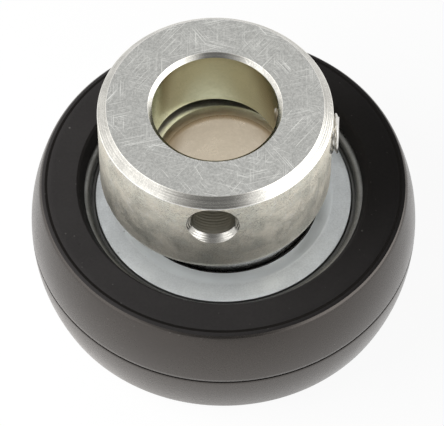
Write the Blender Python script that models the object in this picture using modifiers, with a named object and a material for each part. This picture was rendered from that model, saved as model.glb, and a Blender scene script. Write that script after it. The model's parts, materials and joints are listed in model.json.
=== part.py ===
"""Insert bearing: a self-aligning radial insert ball bearing in a rubber mounting ring.

The inner ring runs out past the seal into an eccentric cam, and a locking collar with
an eccentric recess sits over that cam. Run with blender --background --python part.py.
Lengths are in metres, +Z is the shaft's axis towards the collar, and the origin is the
middle of the rubber ring's lower face, on which the bearing stands.
"""

import math

import bmesh
import bpy
from mathutils import Matrix, Vector

MM = 0.001

# Main sizes of the bearing. The rings, the seals and the rubber follow from them, piece by
# piece outwards from the bore and from the balls' plane: the outer ring comes out at 40 by
# 12 mm, the inner ring 19 mm wide, and the bearing with its collar 28.6 mm.
BORE_DIAMETER = 15.0 * MM
INNER_RACE_WALL = 3.2765 * MM
OUTER_RACE_WALL = 2.2765 * MM
RUBBER_WALL = 3.65 * MM

# Balls and raceways
BALL_COUNT = 8
BALL_DIAMETER = 6.747 * MM
GROOVE_CONFORMITY = 0.52
BALL_CLEARANCE = 0.1 * MM
INNER_GROOVE_DEPTH = 1.2235 * MM
OUTER_GROOVE_DEPTH = 1.8235 * MM

# Snap cage
CAGE_SHOULDER_CLEARANCE = 0.75 * MM
CAGE_LAND_CLEARANCE = 0.55 * MM
CAGE_PRONG_HEIGHT = 1.8 * MM
CAGE_BACK_THICKNESS = 0.5 * MM
CAGE_EDGE = 0.25 * MM
POCKET_CLEARANCE = 0.16 * MM
CAGE_SLOT_WIDTH = 2.0 * MM
CAGE_SLOT_DEPTH = 3.0 * MM

# Seals, each a rubber lip between two sheet steel washers
CAGE_SEAL_CLEARANCE = 0.3165 * MM
WASHER_THICKNESS = 0.3 * MM
WASHER_SHOULDER_CLEARANCE = 0.3 * MM
WASHER_LIP_CLEARANCE = 0.14 * MM
WASHER_FLAT_WIDTH = 1.45 * MM
WASHER_SLOPE_INSET = 0.5 * MM
WASHER_SLOPE_DROP = 0.3 * MM
WASHER_STEP = 0.3 * MM
WASHER_RIM_CLEARANCE = 0.25 * MM
LIP_CLEARANCE = 0.13 * MM
LIP_TIP_WIDTH = 0.18 * MM
LIP_TIP_DROP = 0.1 * MM
LIP_GAP = 0.1 * MM
LIP_BODY_INSET = 0.3 * MM

# Outer ring
OUTER_RING_EDGE = 0.6 * MM
OUTER_RING_BORE_EDGE = 0.75 * MM
OUTER_RING_BORE_EDGE_DROP = 0.5 * MM
SEAL_SEAT_STEP = 0.2 * MM
SEAL_GROOVE_DEPTH = 0.5 * MM
SEAL_GROOVE_INSET = 0.75 * MM
SEAL_GROOVE_FLOOR_CLEARANCE = 0.15 * MM
SEAL_GROOVE_TOP_CLEARANCE = 0.2 * MM

# Rubber ring
RUBBER_LIP_THICKNESS = 1.8 * MM
RUBBER_LIP_REACH = 2.8 * MM
RUBBER_LIP_FLARE = 0.35 * MM
RUBBER_LIP_EDGE = 0.3 * MM
RUBBER_EDGE_RADIUS = 0.9 * MM
SEAT_CLEARANCE = 0.3 * MM

# Inner ring and its eccentric cam
INNER_RING_STANDS_OUT = 0.5 * MM
SHOULDER_SEAL_GAP = 0.35 * MM
SHOULDER_STEP = 0.7 * MM
INNER_RING_EDGE = 0.3 * MM
INNER_RING_BORE_EDGE = 0.6 * MM
INNER_RING_LEAD_IN = 1.1 * MM
ECCENTRICITY = 0.8 * MM
CAM_STEP = 0.1 * MM
CAM_HEIGHT = 4.2 * MM
CAM_EDGE = 0.3 * MM
CAM_ANGLE = math.radians(160.0)

# Locking collar
COLLAR_RUBBER_GAP = 0.5 * MM
COLLAR_SEAT_GAP = 0.3 * MM
CAM_CLEARANCE = 0.25 * MM
RECESS_FLOOR_GAP = 0.8 * MM
COLLAR_SKIRT_WALL = 2.55 * MM
COLLAR_TOP_EDGE = 1.1 * MM
COLLAR_BOTTOM_EDGE = 0.4 * MM
COLLAR_BORE_EDGE = 0.5 * MM
COLLAR_RECESS_EDGE = 0.3 * MM
COLLAR_TURN = math.radians(127.0)

# Holes in the collar
HOLE_ABOVE_RECESS = 4.1 * MM
HOLE_BELOW_TOP = 4.7 * MM
DRIFT_HOLE_DIAMETER = 5.3 * MM
DRIFT_HOLE_DEPTH = 4.0 * MM
DRIFT_HOLE_COUNTERSINK = 0.8 * MM
DRIFT_HOLE_ANGLE = math.radians(-91.0)
DRILL_POINT_ANGLE = math.radians(118.0)
SCREW_HOLE_ANGLE = math.radians(-2.5)
SCREW_HOLE_COUNTERSINK = 0.8 * MM

# Grub screw, with its thread drawn at the pitch diameter
SCREW_THREAD_DIAMETER = 5.0 * MM
SCREW_THREAD_PITCH = 0.8 * MM
PITCH_LINE_SHARE = 0.65
SCREW_LENGTH = 6.0 * MM
SCREW_STANDS_OUT = 0.7 * MM
SCREW_EDGE = 0.2 * MM
SCREW_POINT_HEIGHT = 0.9 * MM
SCREW_CUP_DIAMETER = 2.4 * MM
SCREW_CUP_DEPTH = 0.6 * MM
SOCKET_ACROSS_FLATS = 2.5 * MM
SOCKET_DEPTH = 2.5 * MM

# Mesh detail
RING_STEPS = 40
HOLE_STEPS = 24
BALL_STEPS = 16
BALL_RINGS = 8
POCKET_STEPS = 16
POCKET_RINGS = 10
CROWN_STEPS = 6
RUBBER_CROWN_STEPS = 8
RACEWAY_STEPS = 6
EDGE_STEPS = 3
SHARP_ANGLE = math.radians(30.0)
MERGE_DISTANCE = 0.01 * MM
CUT_ALLOWANCE = 1.0 * MM

# Radii that follow, from the bore outwards
BORE_RADIUS = BORE_DIAMETER / 2
BALL_RADIUS = BALL_DIAMETER / 2
GROOVE_RADIUS = GROOVE_CONFORMITY * BALL_DIAMETER
INNER_GROOVE_FLOOR = BORE_RADIUS + INNER_RACE_WALL
INNER_GROOVE_CENTRE = INNER_GROOVE_FLOOR + GROOVE_RADIUS
SHOULDER_RADIUS = INNER_GROOVE_FLOOR + INNER_GROOVE_DEPTH
INNER_LAND_RADIUS = SHOULDER_RADIUS - SHOULDER_STEP
CAM_RADIUS = INNER_LAND_RADIUS - ECCENTRICITY - CAM_STEP
RECESS_RADIUS = CAM_RADIUS + CAM_CLEARANCE
COLLAR_RADIUS = RECESS_RADIUS + ECCENTRICITY + COLLAR_SKIRT_WALL
PITCH_RADIUS = INNER_GROOVE_FLOOR + BALL_CLEARANCE + BALL_RADIUS
OUTER_GROOVE_FLOOR = PITCH_RADIUS + BALL_RADIUS + BALL_CLEARANCE
OUTER_GROOVE_CENTRE = OUTER_GROOVE_FLOOR - GROOVE_RADIUS
OUTER_LAND_RADIUS = OUTER_GROOVE_FLOOR - OUTER_GROOVE_DEPTH
SEAL_SEAT_RADIUS = OUTER_LAND_RADIUS + SEAL_SEAT_STEP
SEAL_GROOVE_RADIUS = SEAL_SEAT_RADIUS + SEAL_GROOVE_DEPTH
SPHERE_RADIUS = OUTER_GROOVE_FLOOR + OUTER_RACE_WALL
RUBBER_RADIUS = SPHERE_RADIUS + RUBBER_WALL
CAGE_INNER_RADIUS = SHOULDER_RADIUS + CAGE_SHOULDER_CLEARANCE
CAGE_OUTER_RADIUS = OUTER_LAND_RADIUS - CAGE_LAND_CLEARANCE
LIP_TIP_RADIUS = INNER_LAND_RADIUS + LIP_CLEARANCE
WASHER_BORE_RADIUS = LIP_TIP_RADIUS + LIP_TIP_WIDTH + WASHER_LIP_CLEARANCE
WASHER_FLAT_RADIUS = WASHER_BORE_RADIUS + WASHER_FLAT_WIDTH
WASHER_SLOPE_RADIUS = SEAL_SEAT_RADIUS - WASHER_SLOPE_INSET
WASHER_RIM_RADIUS = SEAL_GROOVE_RADIUS - WASHER_RIM_CLEARANCE
SCREW_RADIUS = (SCREW_THREAD_DIAMETER - PITCH_LINE_SHARE * SCREW_THREAD_PITCH) / 2

# Heights that follow, from the balls' plane outwards
POCKET_RADIUS = BALL_RADIUS + POCKET_CLEARANCE
CAGE_BACK = POCKET_RADIUS + CAGE_BACK_THICKNESS
INNER_WASHER_BOTTOM = CAGE_BACK + CAGE_SEAL_CLEARANCE
INNER_WASHER_TOP = INNER_WASHER_BOTTOM + WASHER_THICKNESS
WASHER_RIM_TOP = INNER_WASHER_TOP + LIP_GAP + WASHER_THICKNESS
OUTER_WASHER_TOP = WASHER_RIM_TOP + WASHER_STEP + WASHER_SLOPE_DROP
SEAL_GROOVE_BOTTOM = INNER_WASHER_BOTTOM - SEAL_GROOVE_FLOOR_CLEARANCE
SEAL_GROOVE_TOP = WASHER_RIM_TOP + SEAL_GROOVE_TOP_CLEARANCE
OUTER_RING_HALF_WIDTH = SEAL_GROOVE_TOP + SEAL_GROOVE_INSET
SHOULDER_HALF_WIDTH = INNER_WASHER_BOTTOM - SHOULDER_SEAL_GAP
RUBBER_HALF_WIDTH = OUTER_RING_HALF_WIDTH + SEAT_CLEARANCE + RUBBER_LIP_THICKNESS
INNER_RING_BOTTOM = -(OUTER_RING_HALF_WIDTH + INNER_RING_STANDS_OUT)
COLLAR_BOTTOM = RUBBER_HALF_WIDTH + COLLAR_RUBBER_GAP
CAM_SHOULDER = COLLAR_BOTTOM - COLLAR_SEAT_GAP
INNER_RING_TOP = CAM_SHOULDER + CAM_HEIGHT
RECESS_FLOOR = INNER_RING_TOP + RECESS_FLOOR_GAP
COLLAR_HOLE_HEIGHT = RECESS_FLOOR + HOLE_ABOVE_RECESS
COLLAR_TOP = COLLAR_HOLE_HEIGHT + HOLE_BELOW_TOP
CENTRE = Vector((0.0, 0.0, RUBBER_HALF_WIDTH))


def clear_scene():
    """Empties the file of everything that a new scene comes with."""
    for thing in list(bpy.data.objects):
        bpy.data.objects.remove(thing, do_unlink=True)


def add_collection(name):
    """Adds a collection under the scene."""
    collection = bpy.data.collections.new(name)
    bpy.context.scene.collection.children.link(collection)
    return collection


def add_material(name, colour, roughness, metallic):
    """Makes a plain Principled material."""
    material = bpy.data.materials.new(name)
    material.use_nodes = True
    shader = material.node_tree.nodes["Principled BSDF"]
    shader.inputs["Base Color"].default_value = (*colour, 1.0)
    shader.inputs["Roughness"].default_value = roughness
    shader.inputs["Metallic"].default_value = metallic
    return material


def add_object(name, mesh, collection, origin=(0.0, 0.0, 0.0)):
    """Puts a mesh in a collection as a new object."""
    piece = bpy.data.objects.new(name, mesh)
    piece.location = origin
    collection.objects.link(piece)
    return piece


def as_cutter(piece):
    """Marks an object as a tool for cutting or joining, which isn't part of the bearing."""
    piece.hide_render = True
    piece.display_type = "WIRE"
    return piece


def arc(centre, radius, start, end, steps):
    """Points along an arc in the radius and height plane, angles in radians."""
    points = []
    for step in range(steps + 1):
        angle = start + (end - start) * step / steps
        points.append((centre[0] + radius * math.cos(angle), centre[1] + radius * math.sin(angle)))
    return points


def flipped(points):
    """The same outline on the other side of the balls' plane, run so that it still faces out."""
    return [(radius, -height) for radius, height in reversed(points)]


def turned(name, outline, collection, origin=(0.0, 0.0, 0.0), steps=RING_STEPS, closed=True):
    """Turns an outline of (radius, height) points about its own Z axis with a Screw modifier."""
    points = [(radius, 0.0, height) for radius, height in outline]
    edges = [(index, index + 1) for index in range(len(points) - 1)]
    if closed:
        edges.append((len(points) - 1, 0))
    mesh = bpy.data.meshes.new(name)
    mesh.from_pydata(points, edges, [])
    piece = add_object(name, mesh, collection, origin)
    screw = piece.modifiers.new("Turn", "SCREW")
    screw.axis = "Z"
    screw.angle = math.tau
    screw.steps = steps
    screw.render_steps = steps
    screw.use_merge_vertices = True
    screw.merge_threshold = MERGE_DISTANCE
    return piece


def combine(piece, tool, operation):
    """Cuts a piece with a tool, or joins the tool to it."""
    boolean = piece.modifiers.new(tool.name, "BOOLEAN")
    boolean.operation = operation
    boolean.solver = "EXACT"
    boolean.object = tool


def settle(piece, material):
    """Makes the modifiers' result the piece's own mesh, with its material and smooth shading."""
    bpy.context.view_layer.update()
    depsgraph = bpy.context.evaluated_depsgraph_get()
    mesh = bpy.data.meshes.new_from_object(piece.evaluated_get(depsgraph))
    mesh.name = piece.name
    piece.modifiers.clear()
    piece.data = mesh
    mesh.materials.clear()
    mesh.materials.append(material)
    mesh.shade_smooth()
    mesh.set_sharp_from_angle(angle=SHARP_ANGLE)
    return piece


def radial(origin, angle, height):
    """A frame whose +Z points outwards from an upright axis, at an angle and a height."""
    turn = Matrix.Rotation(angle, 4, "Z") @ Matrix.Rotation(math.pi / 2, 4, "Y")
    return Matrix.Translation(Vector(origin) + Vector((0.0, 0.0, height))) @ turn


def build_rubber_ring(parts):
    """The rubber mounting ring, which wraps the outer ring with a lip on each face."""
    edge_height = RUBBER_HALF_WIDTH - RUBBER_EDGE_RADIUS
    edge_radius = math.sqrt((RUBBER_RADIUS - RUBBER_EDGE_RADIUS) ** 2 - edge_height ** 2)
    edge_angle = math.atan2(edge_height, edge_radius)
    edge = arc((edge_radius, edge_height), RUBBER_EDGE_RADIUS, math.pi / 2, edge_angle, EDGE_STEPS)
    side = arc((0.0, 0.0), RUBBER_RADIUS, edge_angle, -edge_angle, RUBBER_CROWN_STEPS)
    lip_bottom = OUTER_RING_HALF_WIDTH + SEAT_CLEARANCE
    lip_radius = SPHERE_RADIUS - RUBBER_LIP_REACH
    mouth_radius = lip_radius + RUBBER_LIP_FLARE
    seat_radius = SPHERE_RADIUS + SEAT_CLEARANCE
    seat_angle = math.asin(lip_bottom / seat_radius)
    lower_lip = [
        (mouth_radius + RUBBER_LIP_EDGE, -RUBBER_HALF_WIDTH),
        (mouth_radius, -RUBBER_HALF_WIDTH + RUBBER_LIP_EDGE),
        (lip_radius, -lip_bottom),
    ]
    seat = arc((0.0, 0.0), seat_radius, -seat_angle, seat_angle, CROWN_STEPS)
    outline = edge + side[1:-1] + flipped(edge) + lower_lip + seat + flipped(lower_lip)
    ring = turned("rubber_ring", outline, parts, CENTRE)
    return settle(ring, add_material("rubber", (0.012, 0.012, 0.013), 0.6, 0.0))


def build_outer_ring(parts):
    """The steel outer ring, spherical outside, with its raceway and two seal grooves."""
    edge_angle = math.asin((OUTER_RING_HALF_WIDTH - OUTER_RING_EDGE) / SPHERE_RADIUS)
    face_radius = math.sqrt(SPHERE_RADIUS ** 2 - OUTER_RING_HALF_WIDTH ** 2) - OUTER_RING_EDGE
    raceway_angle = math.acos((OUTER_LAND_RADIUS - OUTER_GROOVE_CENTRE) / GROOVE_RADIUS)
    crown = arc((0.0, 0.0), SPHERE_RADIUS, edge_angle, -edge_angle, CROWN_STEPS)
    lower_bore = [
        (face_radius, -OUTER_RING_HALF_WIDTH),
        (SEAL_SEAT_RADIUS + OUTER_RING_BORE_EDGE, -OUTER_RING_HALF_WIDTH),
        (SEAL_SEAT_RADIUS, -OUTER_RING_HALF_WIDTH + OUTER_RING_BORE_EDGE_DROP),
        (SEAL_SEAT_RADIUS, -SEAL_GROOVE_TOP),
        (SEAL_GROOVE_RADIUS, -SEAL_GROOVE_TOP),
        (SEAL_GROOVE_RADIUS, -SEAL_GROOVE_BOTTOM),
        (OUTER_LAND_RADIUS, -SEAL_GROOVE_BOTTOM),
    ]
    raceway = arc((OUTER_GROOVE_CENTRE, 0.0), GROOVE_RADIUS, -raceway_angle, raceway_angle, RACEWAY_STEPS)
    outline = crown + lower_bore + raceway + flipped(lower_bore)
    ring = turned("outer_ring", outline, parts, CENTRE)
    return settle(ring, add_material("outer_ring_steel", (0.45, 0.45, 0.44), 0.35, 1.0))


def build_inner_ring(parts, tools):
    """The extended inner ring: raceway, seal lands, and the eccentric cam at its upper end."""
    raceway_angle = math.acos((INNER_GROOVE_CENTRE - SHOULDER_RADIUS) / GROOVE_RADIUS)
    raceway_start = math.pi - raceway_angle
    raceway_end = math.pi + raceway_angle
    raceway = arc((INNER_GROOVE_CENTRE, 0.0), GROOVE_RADIUS, raceway_start, raceway_end, RACEWAY_STEPS)
    outline = [
        (0.0, CAM_SHOULDER),
        (INNER_LAND_RADIUS - INNER_RING_EDGE, CAM_SHOULDER),
        (INNER_LAND_RADIUS, CAM_SHOULDER - INNER_RING_EDGE),
        (INNER_LAND_RADIUS, SHOULDER_HALF_WIDTH),
        (SHOULDER_RADIUS, SHOULDER_HALF_WIDTH),
        *raceway,
        (SHOULDER_RADIUS, -SHOULDER_HALF_WIDTH),
        (INNER_LAND_RADIUS, -SHOULDER_HALF_WIDTH),
        (INNER_LAND_RADIUS, INNER_RING_BOTTOM + INNER_RING_EDGE),
        (INNER_LAND_RADIUS - INNER_RING_EDGE, INNER_RING_BOTTOM),
        (0.0, INNER_RING_BOTTOM),
    ]
    ring = turned("inner_ring", outline, parts, CENTRE, closed=False)
    cam_outline = [
        (0.0, INNER_RING_TOP),
        (CAM_RADIUS - CAM_EDGE, INNER_RING_TOP),
        (CAM_RADIUS, INNER_RING_TOP - CAM_EDGE),
        (CAM_RADIUS, CAM_SHOULDER - CUT_ALLOWANCE),
        (0.0, CAM_SHOULDER - CUT_ALLOWANCE),
    ]
    cam = as_cutter(turned("inner_ring_cam", cam_outline, tools, CENTRE + cam_offset(), closed=False))
    edge_radius = BORE_RADIUS + INNER_RING_BORE_EDGE
    lead_in_slope = INNER_RING_BORE_EDGE / INNER_RING_LEAD_IN
    bore_outline = [
        (0.0, INNER_RING_TOP + CUT_ALLOWANCE),
        (edge_radius + CUT_ALLOWANCE * lead_in_slope, INNER_RING_TOP + CUT_ALLOWANCE),
        (BORE_RADIUS, INNER_RING_TOP - INNER_RING_LEAD_IN),
        (BORE_RADIUS, INNER_RING_BOTTOM + INNER_RING_BORE_EDGE),
        (edge_radius + CUT_ALLOWANCE, INNER_RING_BOTTOM - CUT_ALLOWANCE),
        (0.0, INNER_RING_BOTTOM - CUT_ALLOWANCE),
    ]
    bore = as_cutter(turned("inner_ring_bore", bore_outline, tools, CENTRE, closed=False))
    combine(ring, cam, "UNION")
    combine(ring, bore, "DIFFERENCE")
    return settle(ring, add_material("inner_ring_steel", (0.46, 0.45, 0.42), 0.3, 1.0))


def cam_offset():
    """From the shaft's axis to the cam's axis, about which the collar turns."""
    return Vector((math.cos(CAM_ANGLE), math.sin(CAM_ANGLE), 0.0)) * ECCENTRICITY


def collar_offset():
    """From the cam's axis to the collar's own axis, at the turn in the photograph."""
    angle = CAM_ANGLE + math.pi + COLLAR_TURN
    return Vector((math.cos(angle), math.sin(angle), 0.0)) * ECCENTRICITY


def build_locking_collar(parts, tools):
    """The locking collar, with its eccentric recess, drift hole and grub screw hole."""
    outline = [
        (COLLAR_RADIUS - COLLAR_TOP_EDGE, COLLAR_TOP),
        (COLLAR_RADIUS, COLLAR_TOP - COLLAR_TOP_EDGE),
        (COLLAR_RADIUS, COLLAR_BOTTOM + COLLAR_BOTTOM_EDGE),
        (COLLAR_RADIUS - COLLAR_BOTTOM_EDGE, COLLAR_BOTTOM),
        (BORE_RADIUS, COLLAR_BOTTOM),
        (BORE_RADIUS, COLLAR_TOP - COLLAR_BORE_EDGE),
        (BORE_RADIUS + COLLAR_BORE_EDGE, COLLAR_TOP),
    ]
    pivot = bpy.data.objects.new("collar_turn_axis", None)
    pivot.location = CENTRE + cam_offset()
    parts.objects.link(pivot)
    collar = turned("locking_collar", outline, parts, collar_offset())
    collar.parent = pivot
    axis = CENTRE + cam_offset() + collar_offset()
    combine(collar, build_recess_tool(tools), "DIFFERENCE")
    combine(collar, build_drift_hole_tool(tools, axis), "DIFFERENCE")
    combine(collar, build_screw_hole_tool(tools, axis), "DIFFERENCE")
    return settle(collar, add_material("collar_steel", (0.5, 0.5, 0.49), 0.38, 1.0))


def build_recess_tool(tools):
    """The shape of the collar's recess, which takes the inner ring's cam."""
    outline = [
        (0.0, RECESS_FLOOR),
        (RECESS_RADIUS, RECESS_FLOOR),
        (RECESS_RADIUS, COLLAR_BOTTOM + COLLAR_RECESS_EDGE),
        (RECESS_RADIUS + COLLAR_RECESS_EDGE + CUT_ALLOWANCE, COLLAR_BOTTOM - CUT_ALLOWANCE),
        (0.0, COLLAR_BOTTOM - CUT_ALLOWANCE),
    ]
    return as_cutter(turned("collar_recess", outline, tools, CENTRE + cam_offset(), closed=False))


def build_drift_hole_tool(tools, axis):
    """A blind drilled hole for the drift or pin that turns the collar tight."""
    hole_radius = DRIFT_HOLE_DIAMETER / 2
    floor = COLLAR_RADIUS - DRIFT_HOLE_DEPTH
    outline = [
        (0.0, COLLAR_RADIUS + CUT_ALLOWANCE),
        (hole_radius + DRIFT_HOLE_COUNTERSINK + CUT_ALLOWANCE, COLLAR_RADIUS + CUT_ALLOWANCE),
        (hole_radius, COLLAR_RADIUS - DRIFT_HOLE_COUNTERSINK),
        (hole_radius, floor),
        (0.0, floor - hole_radius / math.tan(DRILL_POINT_ANGLE / 2)),
    ]
    hole = as_cutter(turned("drift_hole", outline, tools, steps=HOLE_STEPS, closed=False))
    hole.matrix_world = radial(axis, DRIFT_HOLE_ANGLE, COLLAR_HOLE_HEIGHT)
    return hole


def build_screw_hole_tool(tools, axis):
    """The grub screw's hole, from the collar's side through to its bore."""
    hole_radius = SCREW_THREAD_DIAMETER / 2
    outline = [
        (0.0, COLLAR_RADIUS + CUT_ALLOWANCE),
        (hole_radius + SCREW_HOLE_COUNTERSINK + CUT_ALLOWANCE, COLLAR_RADIUS + CUT_ALLOWANCE),
        (hole_radius, COLLAR_RADIUS - SCREW_HOLE_COUNTERSINK),
        (hole_radius, 0.0),
        (0.0, 0.0),
    ]
    hole = as_cutter(turned("screw_hole", outline, tools, steps=HOLE_STEPS, closed=False))
    hole.matrix_world = radial(axis, SCREW_HOLE_ANGLE, COLLAR_HOLE_HEIGHT)
    return hole


def build_grub_screw(parts, tools, collar):
    """The grub screw in the collar's wall, its outer end standing a little out of the hole."""
    outer_end = COLLAR_RADIUS + SCREW_STANDS_OUT
    inner_end = outer_end - SCREW_LENGTH
    outline = [
        (0.0, outer_end),
        (SCREW_RADIUS - SCREW_EDGE, outer_end),
        (SCREW_RADIUS, outer_end - SCREW_EDGE),
        (SCREW_RADIUS, inner_end + SCREW_POINT_HEIGHT),
        (SCREW_CUP_DIAMETER / 2, inner_end),
        (0.0, inner_end + SCREW_CUP_DEPTH),
    ]
    screw = turned("grub_screw", outline, parts, steps=HOLE_STEPS, closed=False)
    mesh = bpy.data.meshes.new("hex_socket")
    shape = bmesh.new()
    corner_radius = SOCKET_ACROSS_FLATS / math.sqrt(3.0)
    socket_length = SOCKET_DEPTH + CUT_ALLOWANCE
    bmesh.ops.create_cone(
        shape, cap_ends=True, segments=6, radius1=corner_radius, radius2=corner_radius, depth=socket_length
    )
    shape.to_mesh(mesh)
    shape.free()
    socket = as_cutter(add_object("hex_socket", mesh, tools))
    socket.location.z = outer_end - SOCKET_DEPTH + socket_length / 2
    combine(screw, socket, "DIFFERENCE")
    settle(screw, add_material("screw_steel", (0.4, 0.4, 0.4), 0.4, 1.0))
    screw.parent = collar
    screw.matrix_parent_inverse = Matrix.Identity(4)
    screw.matrix_basis = radial((0.0, 0.0, 0.0), SCREW_HOLE_ANGLE, COLLAR_HOLE_HEIGHT)
    return screw


def ball_place(index):
    """The centre of one ball on the pitch circle."""
    angle = math.tau * index / BALL_COUNT
    return CENTRE + Vector((math.cos(angle), math.sin(angle), 0.0)) * PITCH_RADIUS


def build_balls(parts):
    """The balls, which share one mesh."""
    mesh = bpy.data.meshes.new("ball")
    shape = bmesh.new()
    bmesh.ops.create_uvsphere(shape, u_segments=BALL_STEPS, v_segments=BALL_RINGS, radius=BALL_RADIUS)
    shape.to_mesh(mesh)
    shape.free()
    mesh.materials.append(add_material("ball_steel", (0.6, 0.6, 0.6), 0.12, 1.0))
    mesh.shade_smooth()
    for index in range(BALL_COUNT):
        add_object(f"ball_{index + 1}", mesh, parts, ball_place(index))


def build_ball_cage(parts, tools):
    """The moulded snap cage, whose prongs close over the balls from below."""
    outline = [
        (CAGE_OUTER_RADIUS - CAGE_EDGE, CAGE_PRONG_HEIGHT),
        (CAGE_OUTER_RADIUS, CAGE_PRONG_HEIGHT - CAGE_EDGE),
        (CAGE_OUTER_RADIUS, CAGE_EDGE - CAGE_BACK),
        (CAGE_OUTER_RADIUS - CAGE_EDGE, -CAGE_BACK),
        (CAGE_INNER_RADIUS + CAGE_EDGE, -CAGE_BACK),
        (CAGE_INNER_RADIUS, CAGE_EDGE - CAGE_BACK),
        (CAGE_INNER_RADIUS, CAGE_PRONG_HEIGHT - CAGE_EDGE),
        (CAGE_INNER_RADIUS + CAGE_EDGE, CAGE_PRONG_HEIGHT),
    ]
    cage = turned("ball_cage", outline, parts, CENTRE)
    combine(cage, build_pocket_tool(tools), "DIFFERENCE")
    combine(cage, build_slot_tool(tools), "DIFFERENCE")
    return settle(cage, add_material("cage_plastic", (0.55, 0.5, 0.4), 0.45, 0.0))


def build_pocket_tool(tools):
    """Spheres a little larger than the balls, one for each pocket."""
    mesh = bpy.data.meshes.new("cage_pockets")
    shape = bmesh.new()
    for index in range(BALL_COUNT):
        place = Matrix.Translation(ball_place(index) - CENTRE)
        bmesh.ops.create_uvsphere(
            shape, u_segments=POCKET_STEPS, v_segments=POCKET_RINGS, radius=POCKET_RADIUS, matrix=place
        )
    shape.to_mesh(mesh)
    shape.free()
    return as_cutter(add_object("cage_pockets", mesh, tools, CENTRE))


def build_slot_tool(tools):
    """Blocks halfway between the balls, which part each pocket's prongs from the next."""
    length = 2 * (CAGE_OUTER_RADIUS - CAGE_INNER_RADIUS)
    height = CAGE_SLOT_DEPTH + CUT_ALLOWANCE
    middle = CAGE_PRONG_HEIGHT - CAGE_SLOT_DEPTH + height / 2
    mesh = bpy.data.meshes.new("cage_slots")
    shape = bmesh.new()
    for index in range(BALL_COUNT):
        turn = Matrix.Rotation(math.tau * (index + 0.5) / BALL_COUNT, 4, "Z")
        place = turn @ Matrix.Translation((PITCH_RADIUS, 0.0, middle))
        size = Matrix.Diagonal((length, CAGE_SLOT_WIDTH, height, 1.0))
        bmesh.ops.create_cube(shape, size=1.0, matrix=place @ size)
    shape.to_mesh(mesh)
    shape.free()
    return as_cutter(add_object("cage_slots", mesh, tools, CENTRE))


def outer_washer_line():
    """The visible face of the outer washer, from its bore out to its rim in the groove."""
    return [
        (WASHER_BORE_RADIUS, OUTER_WASHER_TOP),
        (WASHER_FLAT_RADIUS, OUTER_WASHER_TOP),
        (WASHER_SLOPE_RADIUS, WASHER_RIM_TOP + WASHER_STEP),
        (WASHER_SLOPE_RADIUS + WASHER_STEP / 2, WASHER_RIM_TOP),
        (WASHER_RIM_RADIUS, WASHER_RIM_TOP),
    ]


def seal_lip_outline():
    """The rubber between the washers, with a lip that runs on the inner ring's land."""
    top = OUTER_WASHER_TOP - WASHER_THICKNESS - LIP_GAP
    bottom = INNER_WASHER_TOP + LIP_GAP
    body_radius = WASHER_SLOPE_RADIUS - LIP_BODY_INSET
    neck_radius = LIP_TIP_RADIUS + LIP_TIP_WIDTH
    tip_top = OUTER_WASHER_TOP - LIP_TIP_DROP
    return [
        (neck_radius, tip_top),
        (neck_radius, top),
        (WASHER_FLAT_RADIUS - LIP_GAP, top),
        (body_radius, top - WASHER_SLOPE_DROP),
        (body_radius, bottom),
        (neck_radius, bottom),
        (LIP_TIP_RADIUS, tip_top - LIP_TIP_WIDTH),
    ]


def inner_washer_outline():
    """The flat washer behind the rubber, on the balls' side."""
    bore = SHOULDER_RADIUS + WASHER_SHOULDER_CLEARANCE
    return [
        (WASHER_RIM_RADIUS, INNER_WASHER_TOP),
        (WASHER_RIM_RADIUS, INNER_WASHER_BOTTOM),
        (bore, INNER_WASHER_BOTTOM),
        (bore, INNER_WASHER_TOP),
    ]


def build_seal(parts, side, turn_over, zinc, rubber):
    """One three-piece seal, on the upper or the lower side."""
    outer = turned(f"{side}_outer_washer", turn_over(outer_washer_line()), parts, CENTRE, closed=False)
    sheet = outer.modifiers.new("Sheet", "SOLIDIFY")
    sheet.thickness = WASHER_THICKNESS
    sheet.offset = -1.0
    settle(outer, zinc)
    settle(turned(f"{side}_seal_lip", turn_over(seal_lip_outline()), parts, CENTRE), rubber)
    settle(turned(f"{side}_inner_washer", turn_over(inner_washer_outline()), parts, CENTRE), zinc)


def build_seals(parts):
    """Both seals, alike and facing away from each other."""
    zinc = add_material("washer_zinc", (0.52, 0.55, 0.58), 0.4, 0.8)
    rubber = add_material("seal_rubber", (0.015, 0.015, 0.015), 0.6, 0.0)
    build_seal(parts, "upper", list, zinc, rubber)
    build_seal(parts, "lower", flipped, zinc, rubber)


def main():
    clear_scene()
    parts = add_collection("insert_bearing")
    tools = add_collection("cutting_tools")
    build_rubber_ring(parts)
    build_outer_ring(parts)
    build_inner_ring(parts, tools)
    build_balls(parts)
    build_ball_cage(parts, tools)
    build_seals(parts)
    collar = build_locking_collar(parts, tools)
    build_grub_screw(parts, tools, collar)


if __name__ == "__main__":
    main()
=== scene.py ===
"""Dresses the packed insert bearing: turned, ground and zinc plated steel in a moulded rubber ring.

Every piece is built round the axis of the packed solid that it stands for, in metres, with
+Z running up the shaft towards the locking collar.
"""

import json
import math

import bmesh
import bpy
import numpy as np
from bpy.props import FloatProperty, FloatVectorProperty, PointerProperty
from mathutils import Matrix, Vector

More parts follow.
